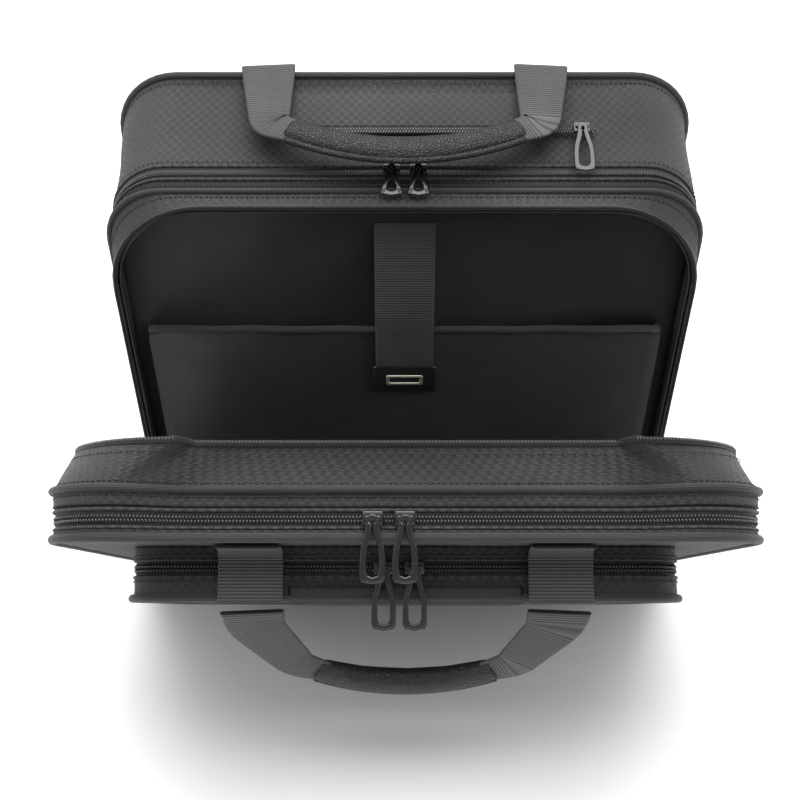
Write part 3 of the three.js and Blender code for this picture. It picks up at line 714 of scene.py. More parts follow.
@dataclass
class Seam:
    """What follows one line round a section: cords, stitches or zip teeth."""

    place: Placement
    outline: Callable[[float], list[Point2]]
    y: float
    out: float = 0.0
    over_top: bool = False

    def path(self) -> Ring:
        """The line's points."""
        ring = self.place.ring(grow(self.outline(self.y), self.out), self.y)
        return ring[:OVER_TOP + 1] if self.over_top else ring

    def cord(self, name: str, radius: float, slot: str, *nodes: str, sides: int = 10) -> bpy.types.Object:
        """Round piping along the line."""
        across = self.place.turn(0, 1, 0)
        piece = tube(name, self.path(), radius, sides=sides, closed=not self.over_top,
                     side_of=lambda _: across)
        return stand_for(piece, MATERIALS[slot], self.place.body, slot, *nodes)

    def walk(self, pitch: float) -> list[tuple[Vector, Vector, Vector]]:
        """Evenly spaced points along the line, each with the direction onwards and outwards."""
        path = self.path()
        if not self.over_top:
            path = path + [path[0]]
        middle = self.place.at(0, self.y, 0.17)
        across = self.place.turn(0, 1, 0).normalized()
        steps = []
        left = pitch / 2
        for a, b in zip(path, path[1:]):
            length = (b - a).length
            if length < 1e-7:
                continue
            forward = (b - a) / length
            normal = forward.cross(across).normalized()
            if normal.dot(a - middle) < 0:
                normal = -normal
            while left < length:
                steps.append((a + forward * left, forward, normal))
                left += pitch
            left -= length
        return steps

    def row(self, name: str, slot: str, pitch: float, size: Vector, sideways: Sequence[float], slant: float,
            *nodes: str) -> bpy.types.Object:
        """Rows of small rounded blocks along the line: stitches, or a zip's teeth.

        Args:
            name: name of the piece.
            slot: material slot.
            pitch: distance between neighbours.
            size: length along the line, across it and outwards.
            sideways: offset of each row across the line.
            slant: turn of each block in its row's plane, mirrored from row to row.
            nodes: CAD nodes that the rows replace.

        Returns:
            The rows as one object.
        """
        bm = bmesh.new()
        across = self.place.turn(0, 1, 0).normalized()
        for line, offset in enumerate(sideways):
            turn = slant if line % 2 == 0 else -slant
            for at, forward, normal in self.walk(pitch):
                along = forward * math.cos(turn) + across * math.sin(turn)
                beside = across * math.cos(turn) - forward * math.sin(turn)
                middle = at + across * offset + forward * (pitch / 2 * (line % 2))
                rim = [bm.verts.new(middle + along * size.x / 2 * a + beside * size.y / 2 * b)
                       for a, b in ((-1, 0), (-0.7, -1), (0.7, -1), (1, 0), (0.7, 1), (-0.7, 1))]
                peak = [bm.verts.new(middle + along * size.x * 0.28 * a + normal * size.z) for a in (-1, 1)]
                bm.faces.new((rim[0], rim[1], peak[0]))
                bm.faces.new((rim[1], rim[2], peak[1], peak[0]))
                bm.faces.new((rim[2], rim[3], peak[1]))
                bm.faces.new((rim[3], rim[4], peak[1]))
                bm.faces.new((rim[4], rim[5], peak[0], peak[1]))
                bm.faces.new((rim[5], rim[0], peak[0]))
                bm.faces.new(tuple(reversed(rim)))
        bmesh.ops.recalc_face_normals(bm, faces=bm.faces)
        return stand_for(new_object(name, bm), MATERIALS[slot], self.place.body, slot, *nodes)

    def stitches(self, name: str) -> bpy.types.Object:
        """A line of top stitching."""
        return self.row(name, "binding", 0.0036, Vector((0.0026, 0.0007, 0.0005)), (0.0,), 0.0)

    def teeth(self, name: str, *nodes: str) -> bpy.types.Object:
        """A closed zip: two slanted rows that meet in a herringbone."""
        return self.row(name, "zip_coil", TOOTH_PITCH, Vector((0.0015, 0.0036, 0.0011)), (-0.0012, 0.0012),
                        0.45, *nodes)


@dataclass
class Zip:
    """A closed zip sunk in a gusset: tape, herringbone teeth and the two folded fabric edges."""

    name: str
    place: Placement
    outline: Callable[[float], list[Point2]]
    y: float
    start: float
    end: float

    def build(self, tape_node: str, coil_node: str) -> None:
        """Builds the tape, teeth and edges."""
        Band(f"{self.name} tape", self.place, self.outline, self.start, self.end, "zip_tape", inset=0.0012,
             thickness=0.0012, steps=3).build(tape_node)
        line = Seam(self.place, self.outline, self.y, out=-0.0010, over_top=True)
        line.teeth(f"{self.name} teeth", coil_node)
        for side, label in ((-1, "front"), (1, "back")):
            lip = Seam(self.place, self.outline, self.y + side * 0.0052, out=-0.0003)
            lip.cord(f"{self.name} {label} fabric edge", 0.0010, "ballistic_nylon", sides=6)
            Seam(self.place, self.outline, self.y + side * 0.0080, out=0.0002).stitches(
                f"{self.name} {label} stitches")


@dataclass
class Pad:
    """A soft panel: a flat back and a crowned, slightly creased face."""

    name: str
    place: Placement
    points: list[Point2]
    face: float
    back: float
    bulge: float
    slot: str = "ballistic_nylon"
    crease: float = 0.0012
    fill: float = 0.5
    rings: int = 22

    def build(self, *nodes: str) -> bpy.types.Object:
        """Builds the panel in place of CAD nodes."""
        cx = sum(p[0] for p in self.points) / len(self.points)
        cz = sum(p[1] for p in self.points) / len(self.points)
        facing = 1.0 if self.face > self.back else -1.0

        def ring(scale: float, y: float, ripple: float = 0.0) -> Ring:
            """The outline shrunk towards its middle, with ripples in depth."""
            made = []
            for x, z in self.points:
                px, pz = cx + (x - cx) * scale, cz + (z - cz) * scale
                broad = noise.noise(Vector((px * 9, pz * 13, 3.7)))
                wave = broad + 0.4 * noise.noise(Vector((px * 31, pz * 40, 1)))
                made.append(self.place.at(px, y + facing * ripple * wave, pz))
            return made

        rings = [ring(0.02, self.back), ring(0.6, self.back), ring(0.995, self.back)]
        for k in range(self.rings + 1):
            t = k / self.rings
            scale = 1.0 - 0.98 * t
            rise = 1 - (1 - min(t / 0.25, 1.0)) ** 2
            rings.append(ring(scale, self.face + facing * self.bulge * rise, self.crease * rise))
        piece = loft(self.name, rings)
        close_ends(piece)
        lay_uv(piece, self.place)
        stand_for(piece, MATERIALS[self.slot], self.place.body, self.slot, *nodes)
        return piece


def inflate(piece: bpy.types.Object, voxel: float, cap: float, pressure: float = 4.0) -> None:
    """Lets a stuffed piece fill out as cloth under a slight pressure.

    Args:
        piece: a closed mesh that isn't parented yet.
        voxel: spacing of the even mesh that is simulated.
        cap: how far a point may move.
        pressure: the filling's pressure.
    """
    even = piece.modifiers.new("Even", "REMESH")
    even.mode = "VOXEL"
    even.voxel_size = voxel
    settle(piece)
    start = [v.co.copy() for v in piece.data.vertices]
    cover = piece.modifiers.new("Cover", "CLOTH")
    cover.settings.use_pressure = True
    cover.settings.uniform_pressure_force = pressure
    cover.settings.effector_weights.gravity = 0.0
    cover.point_cache.frame_start = 1
    cover.point_cache.frame_end = 20
    for step in range(1, 21):
        bpy.context.scene.frame_set(step)
    settle(piece)
    bpy.context.scene.frame_set(1)
    for vert, at in zip(piece.data.vertices, start):
        move = vert.co - at
        if move.length > cap:
            vert.co = at + move.normalized() * cap
    finer = piece.modifiers.new("Finer", "SUBSURF")
    finer.levels = 1
    finer.render_levels = 1
    settle(piece)
    for polygon in piece.data.polygons:
        polygon.use_smooth = True


def rounded_box(name: str, low: Vector, high: Vector, radius: float,
                matrix: Matrix = Matrix()) -> bpy.types.Object:
    """Block with rounded edges between two corners, placed by a matrix."""
    bm = bmesh.new()
    size = high - low
    middle = (low + high) / 2
    bmesh.ops.create_cube(bm, size=1.0, matrix=Matrix.Translation(middle) @ Matrix.Diagonal((*size, 1.0)))
    reach = min(radius, min(size) * 0.45)
    bmesh.ops.bevel(bm, geom=bm.edges, offset=reach, segments=3, profile=0.5, affect="EDGES")
    bmesh.ops.transform(bm, matrix=matrix, verts=bm.verts)
    return new_object(name, bm)


def ribbon(name: str, stations: Sequence[tuple[Vector, Vector, float]], thickness: float,
           side: Vector | None = None) -> bpy.types.Object:
    """Flat strap through stations, with rounded edges and a UV map along it.

    Args:
        name: name of the strap.
        stations: middle of the strap, direction across it and its width.
        thickness: how thick the webbing is.
        side: a direction that the strap's face looks towards, or None.

    Returns:
        The strap as an object.
    """
    fine: list[tuple[Vector, Vector, float]] = []
    for (a, da, wa), (b, db, wb) in zip(stations, stations[1:]):
        count = max(2, round((b - a).length / 0.003))
        fine += [(a.lerp(b, k / count), da.lerp(db, k / count).normalized(), wa + (wb - wa) * k / count)
                 for k in range(count)]
    fine.append(stations[-1])
    for _ in range(3):
        fine = [fine[0]] + [((a[0] + b[0] * 2 + c[0]) / 4, (a[1] + b[1] * 2 + c[1]).normalized(),
                             (a[2] + b[2] * 2 + c[2]) / 4)
                            for a, b, c in zip(fine, fine[1:], fine[2:])] + [fine[-1]]
    profile = [(-0.5, 0.0), (-0.485, 0.35), (-0.45, 0.5), (-0.25, 0.5), (0.0, 0.5), (0.25, 0.5), (0.45, 0.5),
               (0.485, 0.35), (0.5, 0.0), (0.485, -0.35), (0.45, -0.5), (0.0, -0.5), (-0.45, -0.5),
               (-0.485, -0.35)]
    rings: list[Ring] = []
    for i, (at, across, width) in enumerate(fine):
        forward = (fine[min(i + 1, len(fine) - 1)][0] - fine[max(i - 1, 0)][0]).normalized()
        across = (across - forward * across.dot(forward)).normalized()
        up = across.cross(forward)
        if side is not None and up.dot(side) < 0:
            up = -up
        rings.append([at + across * u * width + up * w * thickness for u, w in profile])
    return close_ends(loft(name, rings))


# ---------------------------------------------------------------- sub-assemblies
@dataclass
class RearSection:
    """Deep rear section: gussets, main zip, back panel, pipings, hatch, anchors, feet and board."""

    sag: float = 0.003
    crease: float = 0.0022

    def build(self) -> None:
        """Builds the rear section."""
        Band("rear gusset", REAR, rear_points, 0.0355, 0.1085, thickness=0.0028, steps=26, crease=self.crease,
             sag=self.sag).build("rear_gusset")
        Band("rear rim gusset", REAR, rear_points, 0.0015, 0.0185, steps=8, crease=0.0006).build(
            "laptop_gusset_rear")
        Zip("main zip", REAR, rear_points, 0.031, 0.0185, 0.0355).build("main_zip_tape", "main_zip_coil")
        Pad("back panel", REAR, grow(BACK.points(), -0.0032), 0.1125, 0.1068, 0.0045).build("back_panel")
        Seam(REAR, rear_points, 0.1095, out=0.0006).cord("back piping", 0.0027, "binding", "back_piping")
        line = Seam(REAR, rear_points, REAR_PIPING_Y, out=0.0006)
        line.cord("rear piping", 0.0023, "binding", "rear_piping")
        for y in (0.1035, 0.0108, 0.0208):
            Seam(REAR, rear_points, y, out=0.0001).stitches(f"rear stitches at {y * 1000:.0f}")
        self.rim()
        self.hatch()
        self.anchors()
        self.feet()

    def rim(self) -> None:
        """Zip tape and the open row of teeth along the rear rim."""
        Band("rear rim tape", REAR, rear_points, 0.0042, 0.0006, "zip_tape", inset=-0.0004, thickness=0.001,
             steps=2).build()
        Seam(REAR, rear_points, 0.0019, out=0.0006, over_top=True).row(
            "rear rim teeth", "zip_coil", TOOTH_PITCH, Vector((0.0013, 0.0030, 0.0010)), (0.0,), 0.1,
            "laptop_zip_rear")

    def hatch(self) -> None:
        """Flap and short zip on the top of the gusset, behind the main zip."""
        low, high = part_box("hatch_flap")
        slope = Matrix.Rotation(REAR_SLOPE, 4, "X")
        middle = (low + high) / 2
        depth = (high.y - low.y) / math.cos(REAR_SLOPE)
        half = Vector(((high.x - low.x) / 2, depth / 2 - 0.0006, 0.0012))
        flap = rounded_box("hatch flap", -half, half, 0.0009, Matrix.Translation(middle) @ slope)
        lay_uv(flap, Placement("root", Matrix.Rotation(math.pi / 2, 4, "X")))
        stand_for(flap, MATERIALS["ballistic_nylon"], "root", "ballistic_nylon", "hatch_flap")
        low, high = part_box("hatch_zip_coil")
        middle = (low + high) / 2
        bm = bmesh.new()
        count = int((high.x - low.x) / TOOTH_PITCH)
        for row in (-1, 1):
            for k in range(count):
                at = Vector((low.x + TOOTH_PITCH * (k + 0.5 + 0.25 * row), row * 0.0012, 0.0))
                spot = Matrix.Translation((at.x, middle.y, middle.z)) @ slope
                shape = spot @ Matrix.Translation((0, at.y, 0.0002)) @ Matrix.Rotation(row * 0.45, 4, "Z")
                tooth = Matrix.Diagonal((0.0014, 0.0034, 0.0016, 1))
                bmesh.ops.create_cube(bm, size=1.0, matrix=shape @ tooth)
        teeth = new_object("hatch zip teeth", bm)
        stand_for(teeth, MATERIALS["zip_coil"], "root", "zip_coil", "hatch_zip_coil")

    def anchors(self) -> None:
        """Webbing that runs up the back panel to the rear handle."""
        for side, label in ((-1, "left"), (1, "right")):
            low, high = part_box(f"rear_anchor_{label}")
            y = (low.y + high.y) / 2
            x = side * 0.101
            route = [(y, low.z + 0.001), (y, high.z - 0.003)]
            stations = [(Vector((x, a, z)), Vector((1, 0, 0)), 0.040) for a, z in route]
            strap = ribbon(f"rear anchor webbing {label}", stations, min(high.y - low.y, 0.0026))
            stand_for(strap, MATERIALS["webbing"], "root", "webbing", f"rear_anchor_{label}")

    def feet(self) -> None:
        """Four rubber feet and the board above them."""
        for name in ("foot_left_front", "foot_left_rear", "foot_right_front", "foot_right_rear"):
            low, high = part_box(name)
            middle = (low + high) / 2
            bm = bmesh.new()
            bmesh.ops.create_cone(bm, cap_ends=True, segments=36, radius1=(high.x - low.x) / 2 - 0.0015,
                                  radius2=(high.x - low.x) / 2, depth=high.z - low.z)
            rim = [e for e in bm.edges if len(e.link_faces) == 2 and abs(e.calc_face_angle()) > 0.8]
            bmesh.ops.bevel(bm, geom=rim, offset=0.0006, segments=2, affect="EDGES")
            bmesh.ops.translate(bm, verts=bm.verts, vec=middle)
            foot = new_object(name.replace("_", " "), bm)
            stand_for(foot, MATERIALS["rubber_feet"], "root", "rubber_feet", name)
        low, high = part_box("base_board")
        board = rounded_box("base board", low, high, 0.0006)
        stand_for(board, MATERIALS["stiffener_board"], "root", "stiffener_board", "base_board")


@dataclass
class LaptopSpace:
    """The lined opening: wall, side lining, padded sleeve with its hem, and retention strap."""

    sleeve_half: float = 0.198
    sleeve_bottom: float = 0.024
    sleeve_top: float = 0.208

    def build(self) -> None:
        """Builds the laptop space."""
        Pad("lining wall", REAR, grow(rear_points(0.017), -0.0034), 0.0168, 0.0205, 0.0008, "satin_lining",
            crease=0.0012, fill=0.2, rings=34).build("divider_panel")
        Band("rear side lining", REAR, rear_points, 0.0020, 0.0168, "satin_lining", inset=0.0042,
             thickness=0.0008, steps=5, crease=0.0010).build()
        Band("front side lining", FRONT, front_points, -0.0010, -0.0285, "satin_lining", inset=0.0046,
             thickness=0.0008, steps=5, crease=0.0014).build()
        Pad("organiser wall", FRONT, grow(front_points(-0.030), -0.0056), -0.0285, -0.0308, 0.0008,
            "satin_lining", crease=0.0010, fill=0.2).build("organiser_wall")
        self.sleeve()
        self.retention()

    def sleeve(self) -> None:
        """Padded sleeve, its rolled hem and the pleats that join it to the wall."""
        face = Outline(self.sleeve_half, self.sleeve_bottom, self.sleeve_top, 0.010, foot=0.022)
        Pad("laptop sleeve pad", REAR, face.points(), 0.0052, 0.0100, 0.0014, "satin_lining", crease=0.0015,
            fill=0.6).build("laptop_sleeve")
        hem = [REAR.at(-self.sleeve_half + 0.0015 + (2 * self.sleeve_half - 0.003) * k / 60,
                       0.0062 + 0.0009 * noise.noise(Vector((k * 0.2, 2, 5))),
                       self.sleeve_top - 0.0008 * math.sin(math.pi * k / 60)) for k in range(61)]
        rim = tube("sleeve hem", hem, 0.0028, sides=12, closed=False)
        stand_for(rim, MATERIALS["binding"], "root", "binding")
        start = self.sleeve_bottom + 0.02
        for side, label in ((-1, "left"), (1, "right")):
            rings = []
            for y, inset in ((0.0085, 0.0), (0.0120, 0.004), (0.0160, 0.0005)):
                rings.append([REAR.at(side * (self.sleeve_half - inset), y,
                                      start + (self.sleeve_top - start) * k / 20)
                              for k in range(21)])
            pleat = thicken(loft(f"sleeve pleat {label}", rings, closed=False), 0.001)
            stand_for(pleat, MATERIALS["satin_lining"], "root", "satin_lining")

    def retention(self) -> None:
        """Wide strap from the wall over the sleeve's hem, with its buckle."""
        across = Vector((1, 0, 0))
        top = Vector(joint("retention_strap_swing")["pos_m"])
        route = [(0.0, 0.0), (-0.0069, -0.040), (-0.0137, -0.080), (-0.0137, -0.104), (-0.0137, -0.128)]
        stations = [(top + Vector((0, y, z)), across, 0.045) for y, z in route]
        strap = ribbon("retention webbing", stations, 0.002)
        stand_for(strap, MATERIALS["webbing"], "retention", "webbing", "retention_strap")
        low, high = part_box("retention_buckle")
        low.y += 0.0016
        buckle = rounded_box("buckle", low, high, 0.0012)
        stand_for(buckle, MATERIALS["buckle_plastic"], "retention", "buckle_plastic", "retention_buckle")
        low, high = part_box("buckle_frame")
        middle = (low + high) / 2
        half = (high - low) / 2
        loops = []
        profile = ((0.0, 0.0), (0.0, -0.6), (-0.0006, -1.0), (-0.0020, -1.0), (-0.0026, -0.6), (-0.0026, 0.0))
        for grown, y in profile:
            outline = Outline(half.x + grown, -half.z - grown, half.z + grown, 0.0016, foot=0.0016)
            loops.append([middle + Vector((x, y * half.y, z)) for x, z in outline.points()])
        rim = loft("buckle rim", loops, wrap=True)
        stand_for(rim, MATERIALS["buckle_metal"], "retention", "buckle_metal", "buckle_frame")


@dataclass
class FrontSection:
    """Slim front section: rim gusset, organiser zip, front panel, pocket, trim and strap anchors."""

    crease: float = 0.0020

    def build(self) -> None:
        """Builds the front section."""
        Band("front rim gusset", FRONT, front_points, -0.0015, -0.0295, thickness=0.0026, steps=12,
             crease=self.crease, sag=0.0015).build("laptop_gusset_front")
        Band("organiser strip", FRONT, front_points, -0.0305, -0.0400, steps=5, crease=0.0006).build(
            "organiser_strip")
        Zip("organiser zip", FRONT, front_points, -0.0475, -0.0400, -0.0540).build("organiser_zip_tape",
                                                                                  "organiser_zip_coil")
        Band("front edge band", FRONT, front_points, -0.0540, -0.0585, steps=6).build("front_edge_band")
        Seam(FRONT, front_points, ORGANISER_PIPING_Y, out=0.0006).cord("organiser piping", 0.0024, "binding",
                                                                       "organiser_piping")
        Seam(FRONT, front_edge_points, -0.0585).cord("front piping", 0.0030, "binding",
                                                                              "front_piping")
        Pad("front panel", FRONT, grow(front_points(-0.0580), -0.0030), -0.0600, -0.0566, 0.0008,
            crease=0.0006, fill=0.3).build("front_panel")
        Band("front rim tape", FRONT, front_points, -0.0042, -0.0006, "zip_tape", inset=-0.0004,
             thickness=0.001, steps=2).build()
        Seam(FRONT, front_points, -0.0019, out=0.0006, over_top=True).row(
            "front rim teeth", "zip_coil", TOOTH_PITCH, Vector((0.0013, 0.0030, 0.0010)), (0.0,), 0.1,
            "laptop_zip_front")
        for y in (-0.0090, -0.0262, -0.0345):
            Seam(FRONT, front_points, y, out=0.0001).stitches(f"front stitches at {-y * 1000:.0f}")
        self.pocket()
        self.anchors()

    def pocket(self) -> None:
        """Pocket on the front: gusset, zip, piping, face and the smooth trim patch."""
        Band("pocket gusset", FRONT, pocket_points, -0.0803, -0.0925, steps=5, crease=0.0006).build()
        Band("pocket wall", FRONT, pocket_points, -0.0612, -0.0693, steps=4).build("pocket_gusset")
        Zip("pocket zip", FRONT, pocket_points, -0.0748, -0.0693, -0.0803).build("pocket_zip_tape",
                                                                              "pocket_zip_coil")
        line = Seam(FRONT, pocket_points, -0.0930, out=0.0004)
        line.cord("pocket piping", 0.0026, "binding", "pocket_piping")
        Pad("pocket face", FRONT, grow(POCKET.points(), -0.0026), -0.0942, -0.0905, 0.0012,
            crease=0.0012).build("pocket_face")
        across = Vector((1, 0, 0))
        route = [(-0.0858, 0.2863), (-0.0952, 0.2863), (-0.0968, 0.2840), (-0.0968, 0.2623)]
        stations = [(FRONT.at(0, y, z), across, 0.144) for y, z in route]
        patch = ribbon("smooth trim", stations, 0.0014)
        stand_for(patch, MATERIALS["smooth_trim"], "front_section", "smooth_trim", "pocket_trim")

    def anchors(self) -> None:
        """Webbing that runs from the front panel over the pocket to the front handle."""
        across = Vector((1, 0, 0))
        for side, label in ((-1, "left"), (1, "right")):
            route = [(-0.0631, 0.3140), (-0.0631, 0.2960), (-0.0660, 0.2900), (-0.0720, 0.2890),
                     (-0.0960, 0.2890)]
            stations = [(FRONT.at(side * 0.095, y, z), across, 0.040) for y, z in route]
            strap = ribbon(f"front anchor webbing {label}", stations, 0.0024)
            stand_for(strap, MATERIALS["webbing"], "front_section", "webbing", f"front_anchor_{label}")


@dataclass
class Handle:
    """Two webbing straps that fold into a leather grip with a thick corded edge."""

    name: str
    body: str
    turn: float
    strap_x: float
    half: float
    drop: float
    sag: float
    reach: float = 0.034
    grip_width: float = 0.024
    grip_thickness: float = 0.0125

    def build(self, pivot: str) -> None:
        """Builds the handle at its joint."""
        place = Placement(self.body, Matrix.Translation(Vector(joint(pivot)["pos_m"]))
                          @ Matrix.Rotation(self.turn, 4, "X"))
        start = Vector((-self.half, 0, -self.drop - 0.004))
        control = Vector((0, 0, -self.drop - 0.004 - 2 * self.sag))
        end = Vector((self.half, 0, -self.drop - 0.004))
        curve = []
        for k in range(49):
            t = k / 48
            curve.append(start * (1 - t) ** 2 + control * 2 * t * (1 - t) + end * t * t)
        self.grip(place, curve)
        for side, label in ((-1, "left"), (1, "right")):
            self.strap(place, side, label)

    def grip(self, place: Placement, curve: Ring) -> None:
        """The padded leather grip and the cord along its outer edge."""
        rings: list[Ring] = []
        edge: Ring = []
        for k, at in enumerate(curve):
            t = k / (len(curve) - 1)
            forward = (curve[min(k + 1, 48)] - curve[max(k - 1, 0)]).normalized()
            down = Vector((forward.z, 0, -forward.x))
            swell = 0.80 + 0.20 * math.sin(math.pi * t) ** 0.6
            ring = []
            for j in range(20):
                angle = 2 * math.pi * j / 20
                wide = self.grip_width / 2 * swell * math.cos(angle)
                rise = math.copysign(abs(math.sin(angle)) ** 0.8, math.sin(angle))
                thick = self.grip_thickness / 2 * swell * rise
                ring.append(place.matrix @ (at + down * wide + Vector((0, thick, 0))))
            rings.append(ring)
            edge.append(place.matrix @ (at + down * (self.grip_width / 2 * swell - 0.0006)))
        piece = loft(f"{self.name} grip", rings)
        close_ends(piece)
        inflate(piece, 0.003, 0.0012)
        stand_for(piece, MATERIALS["grip_leather"], self.body, "grip_leather", f"{self.body}_grip")
        across = place.turn(0, 1, 0)
        cord = tube(f"{self.name} grip cord", edge[1:-1], 0.0024, sides=10, closed=False,
                    side_of=lambda _: across)
        stand_for(cord, MATERIALS["grip_leather"], self.body, "grip_leather")

    def strap(self, place: Placement, side: int, label: str) -> None:
        """A strap that narrows and turns from the pivot into the grip's end."""
        grip = Vector((side * self.half, 0, -self.drop - 0.004))
        away = Vector((side * self.half, 0, 2 * self.sag)).normalized()
        turned = Vector((away.z, 0, -away.x))
        across = Vector((1, 0, 0))
        raw = [(Vector((side * self.strap_x, 0, -0.002)), across, 0.040),
               (Vector((side * (self.strap_x - 0.001), 0, -self.reach * 0.5)), across, 0.038),
               (grip + away * 0.014, turned, 0.028),
               (grip - away * 0.006, turned, 0.0205)]
        stations = [(place.matrix @ at, place.turn(*direction), width) for at, direction, width in raw]
        strap = ribbon(f"{self.name} strap {label}", stations, 0.0026)
        stand_for(strap, MATERIALS["webbing"], self.body, "webbing", f"{self.body}_strap_{label}")


@dataclass
class ZipPull:
    """A slider on its zip and the slotted puller that hangs from it."""

    zip_name: str
    slope: float
    lift: float
    length: float = 0.038
    width: float = 0.015
    thickness: float = 0.0016

    def build(self) -> None:
        """Builds the slider and the puller."""
        self.slider()
        self.puller()

    def slider(self) -> None:
        """Waisted body with a bridge over it."""
        body = f"{self.zip_name}_slider_body"
        low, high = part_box(f"{self.zip_name}_slider")
        place = Matrix.Translation((low + high) / 2) @ Matrix.Rotation(self.slope, 4, "X")
        plate = rounded_box("plate", Vector((-0.0062, -0.0043, -0.0022)),
                            Vector((0.0062, 0.0043, 0.0004)), 0.0009, place)
        bridge = rounded_box("bridge", Vector((-0.0050, -0.0013, 0.0002)),
                             Vector((0.0050, 0.0013, 0.0023)), 0.0008, place)
        piece = join(f"{self.zip_name.replace('_', ' ')} slide body", [plate, bridge])
        stand_for(piece, MATERIALS["black_nickel"], body, "black_nickel", f"{self.zip_name}_slider")

    def puller(self) -> None:
        """Slotted plate, wider at its free end, with an eye at the pivot."""
        body = f"{self.zip_name}_puller_body"
        pivot = Vector(joint(f"{self.zip_name}_pull_lift")["pos_m"])
        place = Matrix.Translation(pivot) @ Matrix.Rotation(self.slope + self.lift - math.pi / 2, 4, "X")
        outer, inner = self.outline(0.0), self.outline(1.0)
        middle = [((a[0] + b[0]) / 2, (a[1] + b[1]) / 2) for a, b in zip(outer, inner)]
        half = self.thickness / 2
        rings = []
        for loop, blend, y in ((outer, 0.0, 0.0), (outer, 0.12, 0.8), (outer, 0.4, 1.0), (inner, 0.4, 1.0),
                               (inner, 0.12, 0.8), (inner, 0.0, 0.0), (inner, 0.12, -0.8), (inner, 0.4, -1.0),
                               (outer, 0.4, -1.0), (outer, 0.12, -0.8)):
            shrunk = mix(loop, middle, blend)
            rings.append([place @ Vector((x, y * half, z)) for x, z in shrunk])
        plate = loft("plate", rings, wrap=True)
        piece = join(f"{self.zip_name.replace('_', ' ')} pull tab", [plate])
        stand_for(piece, MATERIALS["black_nickel"], body, "black_nickel", f"{self.zip_name}_puller")

    def outline(self, inside: float) -> list[Point2]:
        """The plate's outer edge at 0, or its slot's edge at 1, as 72 points from the top."""
        wall = 0.0034 * inside
        profile = [(0.0, 0.0026), (0.0022, 0.0018), (0.0036, -0.0010), (0.0041, -0.0060),
                   (0.0052, -0.0110), (0.0068, -0.0170), (0.0075, -0.0240),
                   (self.width / 2, -self.length + 0.004), (0.0062, -self.length + 0.0012),
                   (0.0, -self.length)]
        right = []
        for (ax, az), (bx, bz) in zip(profile, profile[1:]):
            right += [(ax + (bx - ax) * k / 4, az + (bz - az) * k / 4) for k in range(4)]
        right.append(profile[-1])
        made = right + [(-x, z) for x, z in reversed(right[1:-1])]
        if not inside:
            return made
        cz = (profile[0][1] + profile[-1][1]) / 2
        tall = (profile[0][1] - profile[-1][1]) / 2
        return [(math.copysign(max(abs(x) - wall, 0.0), x) * 0.9 if abs(x) > wall else x * 0.3,
                 cz + (z - cz) * (tall - wall * 1.1) / tall) for x, z in made]


# ---------------------------------------------------------------- joining fabric, light and camera
def hinge_fabric() -> None:
    """Strip of lining that joins the two lower rims."""
    width = 0.172
    low = REAR.at(0, 0.0030, 0.0068)
    high = FRONT.at(0, -0.0030, 0.0044)
    rings = []
    for k in range(13):
        t = k / 12
        sink = 0.0015 * math.sin(math.pi * t)
        rings.append([low.lerp(high, t) + Vector((width * (i / 24 - 1), sink, 0)) for i in range(49)])
    piece = thicken(loft("hinge fabric", rings, closed=False), 0.0012, 0.0)
    piece.data.materials.clear()
    piece.data.materials.append(MATERIALS["satin_lining"])
    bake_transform(piece)


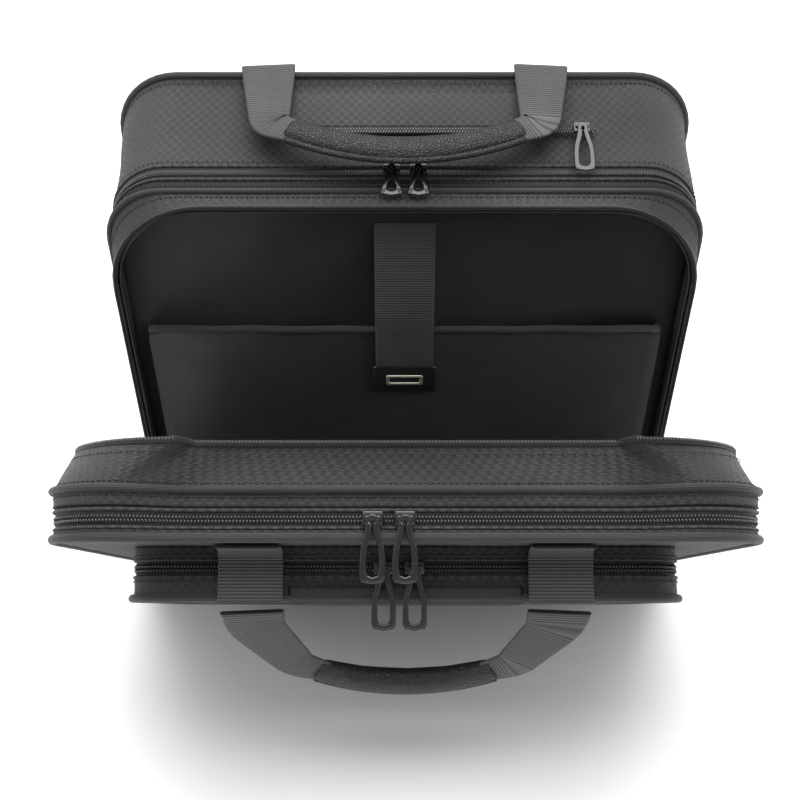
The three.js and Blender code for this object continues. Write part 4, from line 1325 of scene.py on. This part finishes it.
@dataclass
class Studio:
    """Pale floor, soft lights and the camera."""

    floor_tone: float = 0.9

    def build(self) -> None:
        """Builds the floor, lights, world and camera."""
        bm = bmesh.new()
        bmesh.ops.create_grid(bm, x_segments=1, y_segments=1, size=6.0)
        floor = new_object("floor", bm)
        paint = bpy.data.materials.new("floor_paint")
        paint.use_nodes = True
        shader = next(n for n in paint.node_tree.nodes if n.type == "BSDF_PRINCIPLED")
        shader.inputs["Base Color"].default_value = (self.floor_tone,) * 3 + (1.0,)
        shader.inputs["Roughness"].default_value = 0.9
        shader.inputs["Specular IOR Level"].default_value = 0.1
        floor.data.materials.append(paint)
        lights = [
            self.light("overhead softbox", (0.0, 0.45, 2.2), (0.0, 0.05, 0.0), 2.6, 110.0),
            self.light("front softbox", (0.3, -1.7, 1.0), (0.0, 0.0, 0.15), 1.2, 3.0),
            self.light("left strip", (-1.6, -0.2, 0.9), (0.0, 0.0, 0.15), 0.9, 4.0),
            self.light("right strip", (1.6, 0.1, 0.9), (0.0, 0.0, 0.15), 0.9, 4.0),
        ]
        world = bpy.data.worlds.new("white room")
        world.use_nodes = True
        background = next(n for n in world.node_tree.nodes if n.type == "BACKGROUND")
        background.inputs["Color"].default_value = (1.0, 1.0, 1.0, 1.0)
        background.inputs["Strength"].default_value = 0.45
        scene = bpy.context.scene
        scene.world = world
        scene.view_settings.view_transform = "Standard"
        lens = bpy.data.cameras.new("camera")
        lens.lens = 52.9
        lens.sensor_width = 36.0
        lens.shift_y = -0.0118
        camera = bpy.data.objects.new("camera", lens)
        camera.location = (-0.0035, -0.6137, 0.7894)
        camera.rotation_euler = (math.radians(47.1), 0.0, 0.0)
        bpy.context.collection.objects.link(camera)
        scene.camera = camera

    @staticmethod
    def light(name: str, at: tuple, aim: tuple, size: float, power: float) -> bpy.types.Object:
        """One square softbox aimed at a point."""
        lamp = bpy.data.lights.new(name, "AREA")
        lamp.size = size
        lamp.energy = power
        made = bpy.data.objects.new(name, lamp)
        made.location = at
        made.rotation_euler = (Vector(aim) - Vector(at)).to_track_quat("-Z", "Y").to_euler()
        bpy.context.collection.objects.link(made)
        return made


def main() -> None:
    """Dresses the whole bag."""
    logging.basicConfig(level=logging.INFO, format="%(message)s")
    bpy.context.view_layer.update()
    RearSection().build()
    LaptopSpace().build()
    FrontSection().build()
    hinge_fabric()
    Handle("rear", "rear_handle", math.radians(-78), 0.101, 0.084, 0.066, 0.020).build("rear_handle_swing")
    Handle("front", "front_handle", 0.0, 0.095, 0.058, 0.060, 0.014).build("front_handle_swing")
    for name, slope, lift in (("main_zip_left", REAR_SLOPE, 3), ("main_zip_right", REAR_SLOPE, 3),
                              ("hatch_zip", REAR_SLOPE, 4), ("organiser_zip_left", TILT, 2),
                              ("organiser_zip_right", TILT, 2), ("pocket_zip_left", TILT, 2),
                              ("pocket_zip_right", TILT, 2)):
        ZipPull(name, slope, math.radians(lift), 0.024 if name.startswith("main") else 0.038).build()
    Studio().build()


if __name__ == "__main__":
    main()
